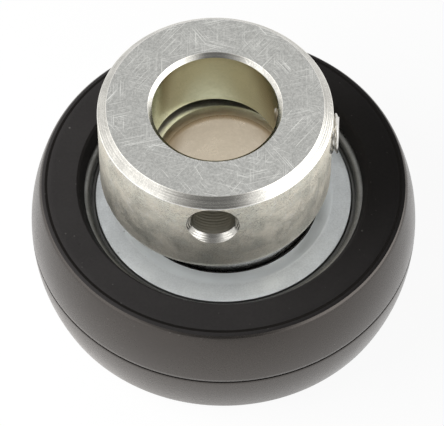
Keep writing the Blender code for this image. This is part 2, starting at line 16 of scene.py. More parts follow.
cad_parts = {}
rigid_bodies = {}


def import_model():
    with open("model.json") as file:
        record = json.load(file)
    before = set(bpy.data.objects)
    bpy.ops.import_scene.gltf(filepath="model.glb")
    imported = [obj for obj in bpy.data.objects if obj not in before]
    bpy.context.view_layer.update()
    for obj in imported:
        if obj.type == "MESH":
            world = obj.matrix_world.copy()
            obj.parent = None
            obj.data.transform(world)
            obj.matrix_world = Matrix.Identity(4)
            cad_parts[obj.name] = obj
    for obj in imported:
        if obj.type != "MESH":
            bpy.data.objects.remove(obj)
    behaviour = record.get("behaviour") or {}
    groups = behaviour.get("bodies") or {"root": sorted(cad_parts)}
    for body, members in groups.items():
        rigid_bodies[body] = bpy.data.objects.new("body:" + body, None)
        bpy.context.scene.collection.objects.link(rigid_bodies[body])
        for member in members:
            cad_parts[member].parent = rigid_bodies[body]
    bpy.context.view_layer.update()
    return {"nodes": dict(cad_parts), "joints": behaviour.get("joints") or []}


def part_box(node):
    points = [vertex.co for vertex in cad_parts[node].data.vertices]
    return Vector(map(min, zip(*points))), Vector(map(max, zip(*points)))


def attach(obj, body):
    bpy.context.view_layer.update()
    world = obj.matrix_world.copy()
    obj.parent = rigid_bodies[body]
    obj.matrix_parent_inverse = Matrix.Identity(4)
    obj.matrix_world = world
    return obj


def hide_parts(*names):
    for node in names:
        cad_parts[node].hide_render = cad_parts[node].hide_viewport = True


bl_info = {
    "name": "Insert Bearing",
    "version": (1, 0, 0),
    "blender": (4, 5, 0),
    "location": "View3D > Sidebar > Bearing",
    "description": "Builds the detailed pieces and finishes of a rubber mounted insert bearing",
    "category": "Add Mesh",
}

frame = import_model()

MM = 0.001
MICRON = 0.000001
TINY = 0.000001


def middle(node):
    """The middle of a packed node's box."""
    low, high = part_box(node)
    return (low + high) / 2


def half_size(node):
    """Half the size of a packed node's box."""
    low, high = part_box(node)
    return (high - low) / 2


CENTRE = middle("outer_ring")
SPHERE_RADIUS = half_size("outer_ring").x
OUTER_HALF_WIDTH = half_size("outer_ring").z
RUBBER_RADIUS = half_size("rubber_ring").x
RUBBER_HALF_WIDTH = half_size("rubber_ring").z
COLLAR_AXIS = middle("locking_collar")
COLLAR_RADIUS = half_size("locking_collar").y
COLLAR_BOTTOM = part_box("locking_collar")[0].z
COLLAR_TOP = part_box("locking_collar")[1].z
INNER_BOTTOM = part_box("inner_ring")[0].z - CENTRE.z
INNER_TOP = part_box("inner_ring")[1].z - CENTRE.z
SHOULDER_RADIUS = half_size("inner_ring").x
BALL_RADIUS = half_size("ball_1").z
PITCH_RADIUS = middle("ball_1").x
BALLS = sorted(name for name in frame["nodes"] if name.startswith("ball_") and name != "ball_cage")
JOINTS = {joint["name"]: joint for joint in frame["joints"]}
CAM_AXIS = Vector((*JOINTS["collar_turn"]["pos_m"][:2], 0.0))
SCREW_ANGLE = math.atan2(JOINTS["screw_travel"]["axis"][1], JOINTS["screw_travel"]["axis"][0])
DRIFT_ANGLE = math.radians(-91.0)
DRILL_POINT = math.radians(59.0)

# Longest stretches of an outline, and how far a cutting tool reaches past what it cuts.
LONGEST = 1.0 * MM
LONGEST_INSIDE = 1.2 * MM
LONGEST_SHEET = 0.9 * MM
REACH = 1.0 * MM

# Materials of the pieces that have several, in the order in which they carry them.
RUBBER_SIDE, RUBBER_FACE, RUBBER_EDGE = range(3)
RING_STEEL, RING_BORE, RING_LEAD_IN, RING_END = range(4)
COLLAR_SIDE, COLLAR_FACE, COLLAR_BORE, COLLAR_DRILLED, COLLAR_CHAMFER = range(5)


def length(name, default, description):
    """A length for the sidebar, given in millimetres."""
    return FloatProperty(name=name, description=description, default=default * MM, unit="LENGTH", precision=5)


def number(name, default, description):
    """A plain number for the sidebar."""
    return FloatProperty(name=name, description=description, default=default)


def position(name, default, description):
    """A point for the sidebar, in metres."""
    return FloatVectorProperty(name=name, description=description, default=default, size=3, unit="LENGTH")


def colour(name, default, description):
    """A colour for the sidebar, linear."""
    return FloatVectorProperty(
        name=name, description=description, default=default, subtype="COLOR", size=3, min=0.0, max=1.0
    )


class RubberSettings(bpy.types.PropertyGroup):
    """Sizes and colours of the rubber mounting ring."""

    edge_radius: length("Edge", 0.9, "Radius of the two outer edges")
    lip_radius: length("Lip", 16.9, "Inner radius of the lips that hold the outer ring")
    lip_flare: length("Lip flare", 0.65, "How much wider a lip is at its mouth")
    lip_edge: length("Lip edge", 0.3, "Width of the lip's bevelled edge")
    seat_gap: length("Seat gap", 0.3, "Room between the rubber and the steel ring")
    parting_depth: length("Parting line depth", 0.09, "Depth of the mould's parting line")
    parting_width: length("Parting line width", 0.3, "Width of the mould's parting line")
    face: colour("Rubber face", (0.027, 0.0255, 0.0255), "Colour of the rubber's faces and lips")
    face_bloom: colour("Face bloom", (0.036, 0.034, 0.0335), "Colour of the bloom on the faces")
    body: colour("Rubber side", (0.008, 0.0073, 0.0068), "Colour of the rubber's crowned side")
    bloom: colour("Side bloom", (0.014, 0.0128, 0.0118), "Colour of the bloom on the side")
    # Painted shade: a near black colour laid in the groove along the faces' edges and in the parting line, where shade
    # falls.
    grime: colour("Grime", (0.005, 0.0046, 0.0043), "Colour of the parting line and the faces' edges")
    dust: colour("Dust", (0.35, 0.34, 0.32), "Colour of dust specks")


class RingSettings(bpy.types.PropertyGroup):
    """Sizes and colours of the steel rings."""

    bore_radius: length("Bore", 7.5, "Radius of the shaft bore")
    land_radius: length("Inner land", 11.3, "Radius on which the seals run")
    shoulder_half: length("Shoulder", 4.0, "Half the width of the inner ring's shoulders")
    cam_radius: length("Cam", 10.4, "Radius of the eccentric cam")
    cam_shoulder: length("Cam shoulder", 8.3, "Height of the cam's shoulder above the balls' plane")
    groove_radius: length("Groove", 3.50844, "Radius of both raceway grooves")
    inner_groove: length("Inner groove centre", 14.28494, "Radius of the inner groove's centre")
    outer_groove: length("Outer groove centre", 14.21506, "Radius of the outer groove's centre")
    outer_land: length("Outer land", 15.9, "Bore radius beside the outer groove")
    seal_seat: length("Seal seat", 16.1, "Bore radius at the seals")
    seal_groove: length("Seal groove", 16.6, "Radius of the grooves that hold the seals")
    seat_edge: length("Seat edge", 0.75, "Width of the outer ring's bore edge")
    seat_edge_drop: length("Seat edge depth", 0.5, "Depth of the outer ring's bore edge")
    bore_edge: length("Bore edge", 0.6, "Width of the bore's chamfers")
    lead_in: length("Lead-in", 1.1, "Depth of the bore's chamfer in the cam")
    seal_groove_drop: length("Seal groove depth", 0.75, "Depth of the seal grooves' upper side below the face")
    seal_groove_width: length("Seal groove width", 1.05, "Width of the seal grooves")
    outer_edge: length("Outer edge", 0.6, "Width of the outer ring's outside edges")
    cage_gap: length("Cage gap", 0.75, "Room between the shoulders and the cage")
    pocket_gap: length("Pocket gap", 0.16, "Room between a ball and its pocket")
    steel: colour("Ring steel", (0.52, 0.515, 0.5), "Colour of the turned steel")
    # A dark colour for the outer ring's steel.
    greased_steel: colour("Greased steel", (0.2, 0.2, 0.19), "Colour of the outer ring")
    # Painted highlight: the cam's end is a much paler copy of the ring's steel, standing in for the bright light on it.
    end_steel: colour("End steel", (0.95, 0.9, 0.8), "Colour of the cam's end")
    # Painted highlight: the bore's chamfers are a much paler copy of the steel, standing in for light that doesn't
    # reach them.
    lead_in_steel: colour("Lead-in steel", (0.95, 0.93, 0.83), "Colour of the bore's chamfers")
    bore_steel: colour("Bore steel", (0.56, 0.485, 0.375), "Colour of the ground bore")
    ball_steel: colour("Ball steel", (0.62, 0.61, 0.6), "Colour of the polished balls")
    plastic: colour("Cage plastic", (0.42, 0.33, 0.2), "Colour of the moulded cage")


class SealSettings(bpy.types.PropertyGroup):
    """Sizes and colours of the seals."""

    washer_bore: length("Washer bore", 11.75, "Bore radius of the outer washers")
    washer_flat: length("Washer flat", 13.2, "Outer radius of the washers' flat")
    washer_slope: length("Washer slope", 15.6, "Outer radius of the washers' slope")
    washer_rim: length("Washer rim", 16.35, "Radius of the washers' rims")
    thickness: length("Sheet", 0.3, "Thickness of the sheet steel")
    step: length("Step", 0.3, "Height of the step down to the rim, and of the slope")
    lip_gap: length("Lip gap", 0.1, "Room between the washers and the rubber lip")
    lip_edge: length("Lip edge", 0.18, "Width of the rubber lip's bevelled tip")
    land_gap: length("Land gap", 0.13, "Room between the rubber lip and the inner ring's land")
    washer_gap: length("Washer gap", 0.3, "Room between an inner washer and the inner ring's shoulder")
    zinc: colour("Zinc", (0.61, 0.635, 0.64), "Colour of the zinc plating")
    # Painted light: a paler zinc for the washers' flat next to the collar, where the collar's shadow falls.
    flat_zinc: colour("Flat zinc", (0.84, 0.88, 0.89), "Colour of the plating near the collar")
    # Painted shade: a dark zinc for the washers' rims, standing in for the shade deep in the seal groove.
    rim: colour("Rim", (0.09, 0.09, 0.086), "Colour of the washers' greased rims")
    lip: colour("Seal rubber", (0.012, 0.012, 0.012), "Colour of the seal rubber")


class CollarSettings(bpy.types.PropertyGroup):
    """Sizes and colours of the locking collar."""

    top_edge: length("Top chamfer", 1.1, "Width of the top chamfer")
    bottom_edge: length("Bottom chamfer", 0.4, "Width of the bottom chamfer")
    bore_edge: length("Bore chamfer", 0.5, "Width of the bore's chamfer")
    recess_radius: length("Recess", 10.65, "Radius of the recess round the cam")
    recess_floor: length("Recess floor", 21.4, "Height of the recess's floor above the ground")
    hole_height: length("Hole height", 25.5, "Height of both side holes above the ground")
    drift_radius: length("Drift hole", 2.65, "Radius of the drift hole")
    drift_depth: length("Drift hole depth", 4.0, "Depth of the drift hole's wall")
    drift_sink: length("Drift countersink", 0.8, "Width of the drift hole's countersink")
    screw_sink: length("Screw countersink", 0.8, "Width of the screw hole's countersink")
    turned: colour("Turned steel", (1.0, 0.935, 0.8), "Colour of the turned side")
    chamfered: colour("Chamfer steel", (0.64, 0.625, 0.58), "Colour of the turned chamfers")
    ground: colour("Ground steel", (0.455, 0.455, 0.435), "Colour of the ground top")
    bored: colour("Bored steel", (0.5, 0.505, 0.345), "Colour of the bore")
    drilled: colour("Drilled steel", (0.515, 0.498, 0.444), "Colour inside the drift hole")


class ScrewSettings(bpy.types.PropertyGroup):
    """Sizes and colours of the grub screw."""

    crest_radius: length("Crest", 2.46, "Radius of the screw's thread crests")
    root_radius: length("Root", 2.02, "Radius of the screw's thread roots")
    pitch: length("Pitch", 0.8, "Distance between threads")
    screw_length: length("Length", 6.0, "Length of the screw")
    stands_out: length("Stands out", 0.7, "How far the screw stands out of the collar")
    edge: length("Edge", 0.2, "Width of the bevel round the screw's outer end")
    point: length("Point", 0.9, "Height of the taper at the screw's inner end")
    cup_radius: length("Cup", 1.2, "Radius of the cup in the screw's inner end")
    socket_width: length("Socket", 2.5, "Width across the socket's flats")
    socket_depth: length("Socket depth", 2.5, "Depth of the socket")
    hole_clearance: length("Hole clearance", 0.06, "Room between screw and tapped hole")
    steel: colour("Screw steel", (0.76, 0.74, 0.7), "Colour of the screw")


class StageSettings(bpy.types.PropertyGroup):
    """Camera, lamp, room and floor."""

    camera_place: position("Camera", (0.0, -0.2228, 0.3388), "Place of the camera")
    camera_target: position("Target", (-0.00018, 0.0, 0.00923), "Point the camera looks at")
    lens: number("Lens", 261.8, "Focal length in millimetres")
    floor: colour("Floor", (0.93, 0.93, 0.93), "Colour of the floor")
    floor_radius: length("Floor radius", 2500.0, "Radius of the floor")
    floor_white: number("Floor white", 0.94, "How white the camera sees the floor")
    floor_dim: number("Floor dim", 0.9, "How dim its front is where it is mirrored")
    key_place: position("Key place", (-0.128, -0.018, 0.1), "Place of the left lamp")
    key_power: number("Key lamp", 0.42, "Power of the left lamp")
    key_size: length("Key size", 150.0, "Side of the left lamp")
    world_light: number("World", 0.2, "Strength of the room's light")
    front_shade: number("Front", 0.22, "Mirrored brightness of the room's front")
    right_panel: number("Right panel", 2.6, "Mirrored brightness at the right")
    left_panel: number("Left panel", 1.6, "Mirrored brightness at the left")


# Meshes


def rounded(corners, steps=4):
    """An outline of (radius, height) points from (radius, height) or (radius, height, fillet) corners."""
    points = []
    for index, (radius, height, *fillet) in enumerate(corners):
        if not fillet:
            points.append((radius, height))
            continue
        here = Vector((radius, height))
        back = (Vector(corners[index - 1][:2]) - here).normalized()
        ahead = (Vector(corners[(index + 1) % len(corners)][:2]) - here).normalized()
        half = back.angle(ahead) / 2
        centre = here + (back + ahead).normalized() * fillet[0] / math.sin(half)
        start = here + back * fillet[0] / math.tan(half) - centre
        end = here + ahead * fillet[0] / math.tan(half) - centre
        sweep = math.atan2(start.x * end.y - start.y * end.x, start.dot(end))
        for step in range(steps + 1):
            turn = sweep * step / steps
            points.append((
                centre.x + start.x * math.cos(turn) - start.y * math.sin(turn),
                centre.y + start.x * math.sin(turn) + start.y * math.cos(turn),
            ))
    return points


def divided(points, longest, closed):
    """The same outline with points added, so that no stretch is longer than given."""
    result = []
    for start, end in zip(points, points[1:] + points[:1] if closed else points[1:]):
        parts = max(1, math.ceil(math.dist(start, end) / longest))
        for share in (part / parts for part in range(parts)):
            result.append((start[0] + (end[0] - start[0]) * share, start[1] + (end[1] - start[1]) * share))
    return result if closed else [*result, points[-1]]


def flipped(points):
    """The same outline on the other side of the balls' plane, run the same way round."""
    return [(point[0], -point[1], *point[2:]) for point in reversed(points)]


def arc(centre, radius, start, end, steps):
    """Points along an arc, angles in radians."""
    angles = [start + (end - start) * step / steps for step in range(steps + 1)]
    return [(centre[0] + radius * math.cos(a), centre[1] + radius * math.sin(a)) for a in angles]


def ridged(start, end, inward, count, depth, seed):
    """Points between two ends of a straight line, with shallow grooves of uneven depth in it."""
    start, end, inward = Vector(start), Vector(end), Vector(inward).normalized()
    uneven = np.random.default_rng(seed).uniform(0.4, 1.0, count)
    groove = ((0.2, 0.0), (0.4, 1.0), (0.7, 1.0), (0.9, 0.0))
    points = []
    for index in range(count):
        for share, sunk in groove:
            place = start.lerp(end, (index + share) / count) + inward * depth * sunk * float(uneven[index])
            points.append((place.x, place.y))
    return points


def new_object(name, mesh, place=(0.0, 0.0, 0.0)):
    """Links a mesh as a new object."""
    piece = bpy.data.objects.new(name, mesh)
    piece.location = place
    bpy.context.scene.collection.objects.link(piece)
    return piece


def surface_mesh(name, rows, wrap_rows=False, finish=None):
    """A closed mesh from rows of points, each row a closed ring, or one point at a tip."""
    points = []
    starts = []
    for row in rows:
        starts.append(len(points))
        points.extend(row)
    faces = []
    pairs = len(rows) if wrap_rows else len(rows) - 1
    for index in range(pairs):
        after = (index + 1) % len(rows)
        here, there = starts[index], starts[after]
        count = max(len(rows[index]), len(rows[after]))
        for step in range(count):
            nearby = (step + 1) % count
            if len(rows[index]) == 1:
                faces.append((here, there + nearby, there + step))
            elif len(rows[after]) == 1:
                faces.append((here + step, here + nearby, there))
            else:
                faces.append((here + step, here + nearby, there + nearby, there + step))
    mesh = bpy.data.meshes.new(name)
    mesh.from_pydata(points, [], faces)
    shape = bmesh.new()
    shape.from_mesh(mesh)
    bmesh.ops.recalc_face_normals(shape, faces=shape.faces)
    if finish:
        for face in shape.faces:
            place = face.calc_center_median()
            face.material_index = finish(math.hypot(place.x, place.y), place.z)
    shape.to_mesh(mesh)
    shape.free()
    return mesh


def lathe(name, corners, place=(0.0, 0.0, 0.0), longest=math.inf, steps=192, bend=4, finish=None, uneven=None):
    """Turns an outline about its own Z axis. It is a loop unless it starts on the axis, where it then ends.

    uneven moves single points: (r, z, angle) -> (r, z).
    """
    closed = corners[0][0] > TINY
    rows = []
    for radius, height in divided(rounded(corners, bend), longest, closed):
        if radius < TINY:
            rows.append([(0.0, 0.0, height)])
            continue
        row = []
        for angle in (math.tau * step / steps for step in range(steps)):
            r, z = uneven(radius, height, angle) if uneven else (radius, height)
            row.append((r * math.cos(angle), r * math.sin(angle), z))
        rows.append(row)
    return new_object(name, surface_mesh(name, rows, closed, finish), place)


def thread(name, crest, root, pitch, low, high, ends=(), steps=96, rows_per_turn=12, index=0):
    """A closed threaded rod along Z. ends gives each end's height, its radius and its taper's height."""
    count = round((high - low) / pitch * rows_per_turn)
    rows = [[(0.0, 0.0, low)]]
    for row in range(count + 1):
        height = low + (high - low) * row / count
        ring = []
        for step in range(steps):
            turn = step / steps
            phase = (height / pitch - turn) % 1.0
            # A quarter of a pitch each for the crest, both flanks and the root.
            tooth = min(1.0, max(0.0, 1.5 - abs(phase - 0.5) * 4.0))
            radius = root + (crest - root) * tooth
            for place, end_radius, taper in ends:
                share = min(1.0, abs(height - place) / taper)
                radius = min(radius, end_radius + (crest - end_radius) * share)
            ring.append((radius * math.cos(math.tau * turn), radius * math.sin(math.tau * turn), height))
        rows.append(ring)
    rows.append([(0.0, 0.0, high)])
    return new_object(name, surface_mesh(name, rows, finish=lambda r, z: index))


def carve(piece, tools, operation="DIFFERENCE"):
    """Cuts the tools out of a piece, or joins them to it, and removes the tools and collapsed faces."""
    for tool in tools:
        boolean = piece.modifiers.new(tool.name, "BOOLEAN")
        boolean.operation = operation
        boolean.solver = "EXACT"
        boolean.material_mode = "INDEX"
        boolean.object = tool
    keep_shape(piece)
    for tool in tools:
        bpy.data.objects.remove(tool, do_unlink=True)
    shape = bmesh.new()
    shape.from_mesh(piece.data)
    bmesh.ops.dissolve_degenerate(shape, dist=TINY / 2, edges=shape.edges)
    shape.to_mesh(piece.data)
    shape.free()


def keep_shape(piece):
    """Makes what the modifiers give the piece's own mesh."""
    bpy.context.view_layer.update()
    shaped = piece.evaluated_get(bpy.context.evaluated_depsgraph_get())
    mesh = bpy.data.meshes.new_from_object(shaped)
    mesh.name = piece.name
    piece.modifiers.clear()
    piece.data = mesh


def complete(piece, body, node, materials, sharp=35.0):
    """Shades a piece, gives it its finishes, and puts it on its body in its node's place."""
    mesh = piece.data
    indices = np.zeros(len(mesh.polygons), dtype=np.int32)
    mesh.polygons.foreach_get("material_index", indices)
    mesh.materials.clear()
    for material in materials:
        mesh.materials.append(material)
    mesh.polygons.foreach_set("material_index", np.minimum(indices, len(materials) - 1))
    mesh.shade_smooth()
    mesh.set_sharp_from_angle(angle=math.radians(sharp))
    weighted = piece.modifiers.new("Even shading", "WEIGHTED_NORMAL")
    weighted.keep_sharp = True
    weighted.weight = 80
    keep_shape(piece)
    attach(piece, body)
    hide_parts(node)


# Shader building blocks


class Value:
    """A shader socket that can be reckoned with like a number."""

    def __init__(self, socket):
        self.socket = socket

    @property
    def tree(self):
        return self.socket.id_data

    def maths(self, operation, *others):
        """One step of arithmetic."""
        return node(self.tree, "ShaderNodeMath", enumerate((self, *others)), operation=operation)

    def __add__(self, other):
        return self.maths("ADD", other)

    def __sub__(self, other):
        return self.maths("SUBTRACT", other)

    def __mul__(self, other):
        return self.maths("MULTIPLY", other)

    def __truediv__(self, other):
        return self.maths("DIVIDE", other)


def wire(slot, value):
    """Links an input to a shader value, or gives it a plain one."""
    if isinstance(value, Value):
        slot.id_data.links.new(value.socket, slot)
    else:
        slot.default_value = value


def outputs(tree, kind, inputs=(), **settings):
    """Adds a node with its settings and inputs, and returns its outputs."""
    made = tree.nodes.new(kind)
    for key, value in settings.items():
        setattr(made, key, value)
    for key, value in dict(inputs).items():
        wire(made.inputs[key], value)
    return [Value(socket) for socket in made.outputs]


def node(tree, kind, inputs=(), output=0, **settings):
    """Adds a node and returns one of its outputs."""
    return outputs(tree, kind, inputs, **settings)[output]


def vectors(operation, first, *others, output=0):
    """One step of vector arithmetic."""
    return node(first.tree, "ShaderNodeVectorMath", enumerate((first, *others)), output, operation=operation)


def turned_by(vector, angle):
    """A vector turned about Z."""
    return node(vector.tree, "ShaderNodeVectorRotate", {"Vector": vector, "Angle": angle}, rotation_type="Z_AXIS")


def parts_of(vector):
    """A vector's x, y and z."""
    return outputs(vector.tree, "ShaderNodeSeparateXYZ", {0: vector})


def ramp(value, low, high, to_low=0.0, to_high=1.0):
    """Maps a value's range to another, smoothly and with limits."""
    inputs = {"Value": value, "From Min": low, "From Max": high, "To Min": to_low, "To Max": to_high}
    return node(value.tree, "ShaderNodeMapRange", inputs, interpolation_type="SMOOTHSTEP")


def noise(vector, scale, detail=2.0, roughness=0.5, **more):
    """Fractal noise from 0 to 1."""
    inputs = {"Vector": vector, "Scale": scale, "Detail": detail, "Roughness": roughness, **more}
    return node(vector.tree, "ShaderNodeTexNoise", inputs, noise_dimensions="4D" if "W" in more else "3D")


def mixed(factor, first, second):
    """A mix of two colours."""
    return node(factor.tree, "ShaderNodeMix", {0: factor, 6: first, 7: second}, 2, data_type="RGBA")


def places(tree):
    """The point on the piece, counted from its own axis, its x, y and z, and its radius."""
    point = node(tree, "ShaderNodeTexCoord", output=3)
    x, y, z = parts_of(point)
    return point, x, y, z, (x * x + y * y).maths("SQRT")


def effect(inputs, results):
    """Turns a function that lays nodes into one that gives their node group, built once."""
    def wrap(build):
        def group():
            if build.__name__ in bpy.data.node_groups:
                return bpy.data.node_groups[build.__name__]
            made = bpy.data.node_groups.new(build.__name__, "ShaderNodeTree")
            for label, value in inputs.items():
                kind = "NodeSocketVector" if isinstance(value, tuple) else "NodeSocketFloat"
                made.interface.new_socket(label, in_out="INPUT", socket_type=kind).default_value = value
            for label in results:
                made.interface.new_socket(label, in_out="OUTPUT", socket_type="NodeSocketFloat")
            given = outputs(made, "NodeGroupInput")[:len(inputs)]
            outputs(made, "NodeGroupOutput", zip(results, build(made, *given)))
            return made
        return group
    return wrap


@effect({"Spacing": 0.0002, "Waver": 60.0}, ["Height", "Tone"])
def turning_marks(tree, spacing, waver):
    """Fine lines that run round the axis, left by a lathe tool or a grinding wheel."""
    point, x, y, z, radius = places(tree)
    across = node(tree, "ShaderNodeCombineXYZ", {0: radius / spacing, 1: x * waver, 2: y * waver})
    lines = noise(across, 1.0, 3.0, 0.6, W=z / spacing)
    return lines, ramp((noise(point, 260.0) - 0.5) * 0.5 + lines, 0.3, 0.7)


@effect({"Fineness": 5200.0}, ["Mask"])
def random_scratches(tree, fineness):
    """Short fine scratches in several directions, thicker in some patches than in others."""
    point = places(tree)[0]
    total = None
    for index in range(5):
        drawn = vectors("MULTIPLY", turned_by(point, math.radians(17.0 + 37.0 * index)), (0.014, 1.0, 0.3))
        lines = noise(vectors("ADD", drawn, (index * 0.013, 0.0, 0.0)), fineness, 2.0, 0.6)
        patch = noise(vectors("ADD", point, (0.0, index * 0.017, 0.0)), 260.0, 2.0, 0.6)
        laid = ramp(lines, 0.57, 0.7) * ramp(patch, 0.46, 0.62)
        total = laid if total is None else total.maths("MAXIMUM", laid)
    return [total]


@effect({"Middle": (0.0, 0.0, 0.0), "Direction": 0.0, "Half length": 0.002, "Half width": 0.00005}, ["Mask"])
def long_scratch(tree, middle, direction, half_length, half_width):
    """One straight scratch, a little bent and broken."""
    point = places(tree)[0]
    along, aside = parts_of(turned_by(vectors("SUBTRACT", point, middle), direction * -1.0))[:2]
    bend = (noise(point, 900.0, 1.0) - 0.5) * 0.00008
    line = ramp((aside + bend).maths("ABSOLUTE") / half_width, 1.0, 0.3)
    ends = ramp(along.maths("ABSOLUTE") / half_length, 1.0, 0.6)
    return [line * ends * ramp(noise(point, 2500.0, 2.0, 0.7), 0.3, 0.5)]


@effect({"Patches": 500.0, "Grain": 6000.0}, ["Tone", "Grain"])
def mottling(tree, patches, grain):
    """Cloudy patches with a fine grain over them."""
    point = places(tree)[0]
    fine = noise(point, grain, 2.0, 0.6)
    return ramp(noise(point, patches, 4.0, 0.6) * 0.55 + fine * 0.45, 0.36, 0.64), fine


@effect({"Radius": 0.01, "Height": 0.0, "Width": 0.0002}, ["Mask"])
def rim_wear(tree, rim_radius, rim_height, width):
    """A ragged band along one circular edge, given by its radius and height."""
    point, _, _, z, radius = places(tree)
    aside = radius - rim_radius
    above = z - rim_height
    reach = (aside * aside + above * above).maths("SQRT") / width
    return [ramp(reach + (noise(point, 1500.0, 3.0, 0.6) - 0.5) * 1.6, 1.0, 0.35)]


@effect({"Density": 600.0, "Rarity": 0.75, "Size": 0.25}, ["Mask"])
def dust_specks(tree, density, rarity, size):
    """Small specks of dust or pits, scattered unevenly."""
    distance, cell = outputs(tree, "ShaderNodeTexVoronoi", {"Vector": places(tree)[0], "Scale": density})[:2]
    chance = node(tree, "ShaderNodeSeparateColor", {0: cell})
    return [ramp(ramp(chance, rarity, 1.0) * size - distance, 0.0, 0.04)]


def tint(shade, factor=1.0):
    """A colour lightened or darkened, with its alpha."""
    return tuple(min(1.0, value * factor) for value in shade) + (1.0,)


class Finish:
    """A material whose colour is laid in layers over cloudy patches."""

    def __init__(self, name, roughness, clouds, dark, light, metallic=1.0):
        self.material = bpy.data.materials.new(name)
        self.material.use_nodes = True
        self.tree = self.material.node_tree
        self.shader = self.tree.nodes["Principled BSDF"].inputs
        self.keep({"Metallic": metallic, "Roughness": roughness})
        self.cloud = self.use(mottling, patches=clouds[0], grain=clouds[1])
        self.tone = mixed(self.cloud, dark, light)

    def keep(self, values):
        """Gives the shader values that are the same all over."""
        for label, value in values.items():
            self.shader[label].default_value = value

    def use(self, group, output=0, **values):
        """Places a node group with its own values."""
        labels = {key.replace("_", " ").capitalize(): value for key, value in values.items()}
        return node(self.tree, "ShaderNodeGroup", labels, output, node_tree=group())

    def layer(self, mask, shade):
        """Lays a colour where the mask is."""
        self.tone = mixed(mask, self.tone, shade)

    def done(self, dull, glossy, height, distance):
        """Feeds the shader its colour, its roughness and its bump, and returns the material."""
        wire(self.shader["Base Color"], self.tone)
        wire(self.shader["Roughness"], ramp(self.cloud, 0.0, 1.0, dull, glossy))
        bump = node(self.tree, "ShaderNodeBump", {"Height": height, "Distance": distance, "Strength": 1.0})
        wire(self.shader["Normal"], bump)
        return self.material


def turned_steel(
    name, shade, roughness=0.3, spacing=0.00018, edges=(), marked=1.0, stretch=0.0, waver=60.0, shade_below=None,
    speckled=0.0,
):
    """Steel with the marks of the lathe, mottled, polished along its edges, with painted shade that darkens it below a
    height.
    """
    steel = Finish(name, roughness, (420.0, 5200.0), tint(shade, 1.0 - 0.13 * marked), tint(shade, 1.0 + 0.09 * marked))
    if stretch:
        steel.keep({"Anisotropic": stretch, "Anisotropic Rotation": 0.25})
        wire(steel.shader["Tangent"], node(steel.tree, "ShaderNodeTangent", direction_type="RADIAL", axis="Z"))
    lines = steel.use(turning_marks, 1, spacing=spacing * 1.7, waver=waver)
    rubbed = steel.use(random_scratches, fineness=4200.0)
    steel.layer(lines * (0.4 * marked), tint(shade, 0.62))
    steel.layer(rubbed * (0.3 * marked), tint(shade, 1.35))
    if speckled:
        point = places(steel.tree)[0]
        dark = ramp(noise(vectors("MULTIPLY", point, (1.0, 1.0, 1.7)), 5000.0, 2.0, 0.7), 0.46, 0.62)
        patches = ramp(noise(point, 380.0, 2.0, 0.6), 0.3, 0.65, 0.25, 1.0)
        steel.layer(dark * patches * speckled, tint(shade, 0.3))
    # Painted shade: darker towards the bottom, standing in for the dark rubber and washer that the lower side mirrors.
    if shade_below:
        low, high, strength = shade_below
        steel.layer(ramp(places(steel.tree)[3], high, low, 0.0, strength), tint(shade, 0.3))
    for radius, height, width in edges:
        steel.layer(steel.use(rim_wear, radius=radius, height=height, width=width), tint(shade, 1.4))
    height = rubbed * -0.35 + steel.use(turning_marks, spacing=spacing)
    dull, glossy = roughness * (1.0 + 0.12 * marked), roughness * (1.0 - 0.1 * marked)
    return steel.done(dull, glossy, height, 1.2 * MICRON * marked)


def ground_steel(name, shade, roughness=0.36, scratches=()):
    """Steel ground flat, scratched in all directions, with a few long bright scratches."""
    steel = Finish(name, roughness, (3800.0, 9000.0), tint(shade, 0.8), tint(shade, 1.18))
    fine = steel.use(random_scratches, fineness=10500.0)
    steel.layer(steel.use(random_scratches, fineness=8000.0) * 0.5, tint(shade, 0.58))
    steel.layer(fine * 0.95, tint(shade, 1.75))
    for middle, direction, half_length, half_width, strength in scratches:
        mark = steel.use(
            long_scratch, middle=middle, direction=math.radians(direction), half_length=half_length,
            half_width=half_width,
        )
        steel.layer(mark * strength, tint(shade, 1.75))
    return steel.done(roughness * 1.15, roughness * 0.85, steel.cloud - fine, 1.5 * MICRON)


def bored_steel(name, shade, roughness, waver=60.0, marked=1.0):
    """A smooth bore with faint rings and a thin film of preserving oil."""
    steel = Finish(name, roughness, (240.0, 3000.0), tint(shade, 1.0 - 0.1 * marked), tint(shade, 1.0 + 0.08 * marked))
    lines = steel.use(turning_marks, 1, spacing=0.0006, waver=waver)
    steel.layer(lines * (0.16 * marked), tint(shade, 0.72))
    marks = steel.use(turning_marks, spacing=0.00025, waver=waver)
    dull, glossy = roughness * (1.0 + 0.2 * marked), roughness * (1.0 - 0.2 * marked)
    return steel.done(dull, glossy, marks, 0.8 * MICRON * marked)


def moulded_rubber(name, body, bloom, dust, roughness=0.5, dusty=1.0, specular=0.5, sheen=0.0):
    """Matt black rubber with a pale bloom, a fine skin, small pits and dust."""
    halfway = [(first + second) / 2 for first, second in zip(body, bloom)]
    rubber = Finish(name, roughness, (160.0, 2600.0), tint(body), tint(halfway), 0.0)
    rubber.keep({
        "Specular IOR Level": specular, "Specular Tint": (1.0, 0.9, 0.83, 1.0), "Sheen Weight": sheen,
        "Sheen Roughness": 0.4, "Sheen Tint": (1.0, 0.87, 0.76, 1.0),
    })
    pits = rubber.use(dust_specks, density=700.0, rarity=0.93, size=0.16)
    specks = rubber.use(dust_specks, density=900.0, rarity=0.9, size=0.13)
    fine = rubber.use(dust_specks, density=1900.0, rarity=0.88, size=0.22)
    rubber.layer(specks.maths("MAXIMUM", fine * 0.5) * dusty, tint(dust))
    height = pits * -6.0 + rubber.use(mottling, 1, patches=900.0, grain=11000.0)
    return rubber.done(roughness * 0.9, roughness * 1.12, height, 4.0 * MICRON)


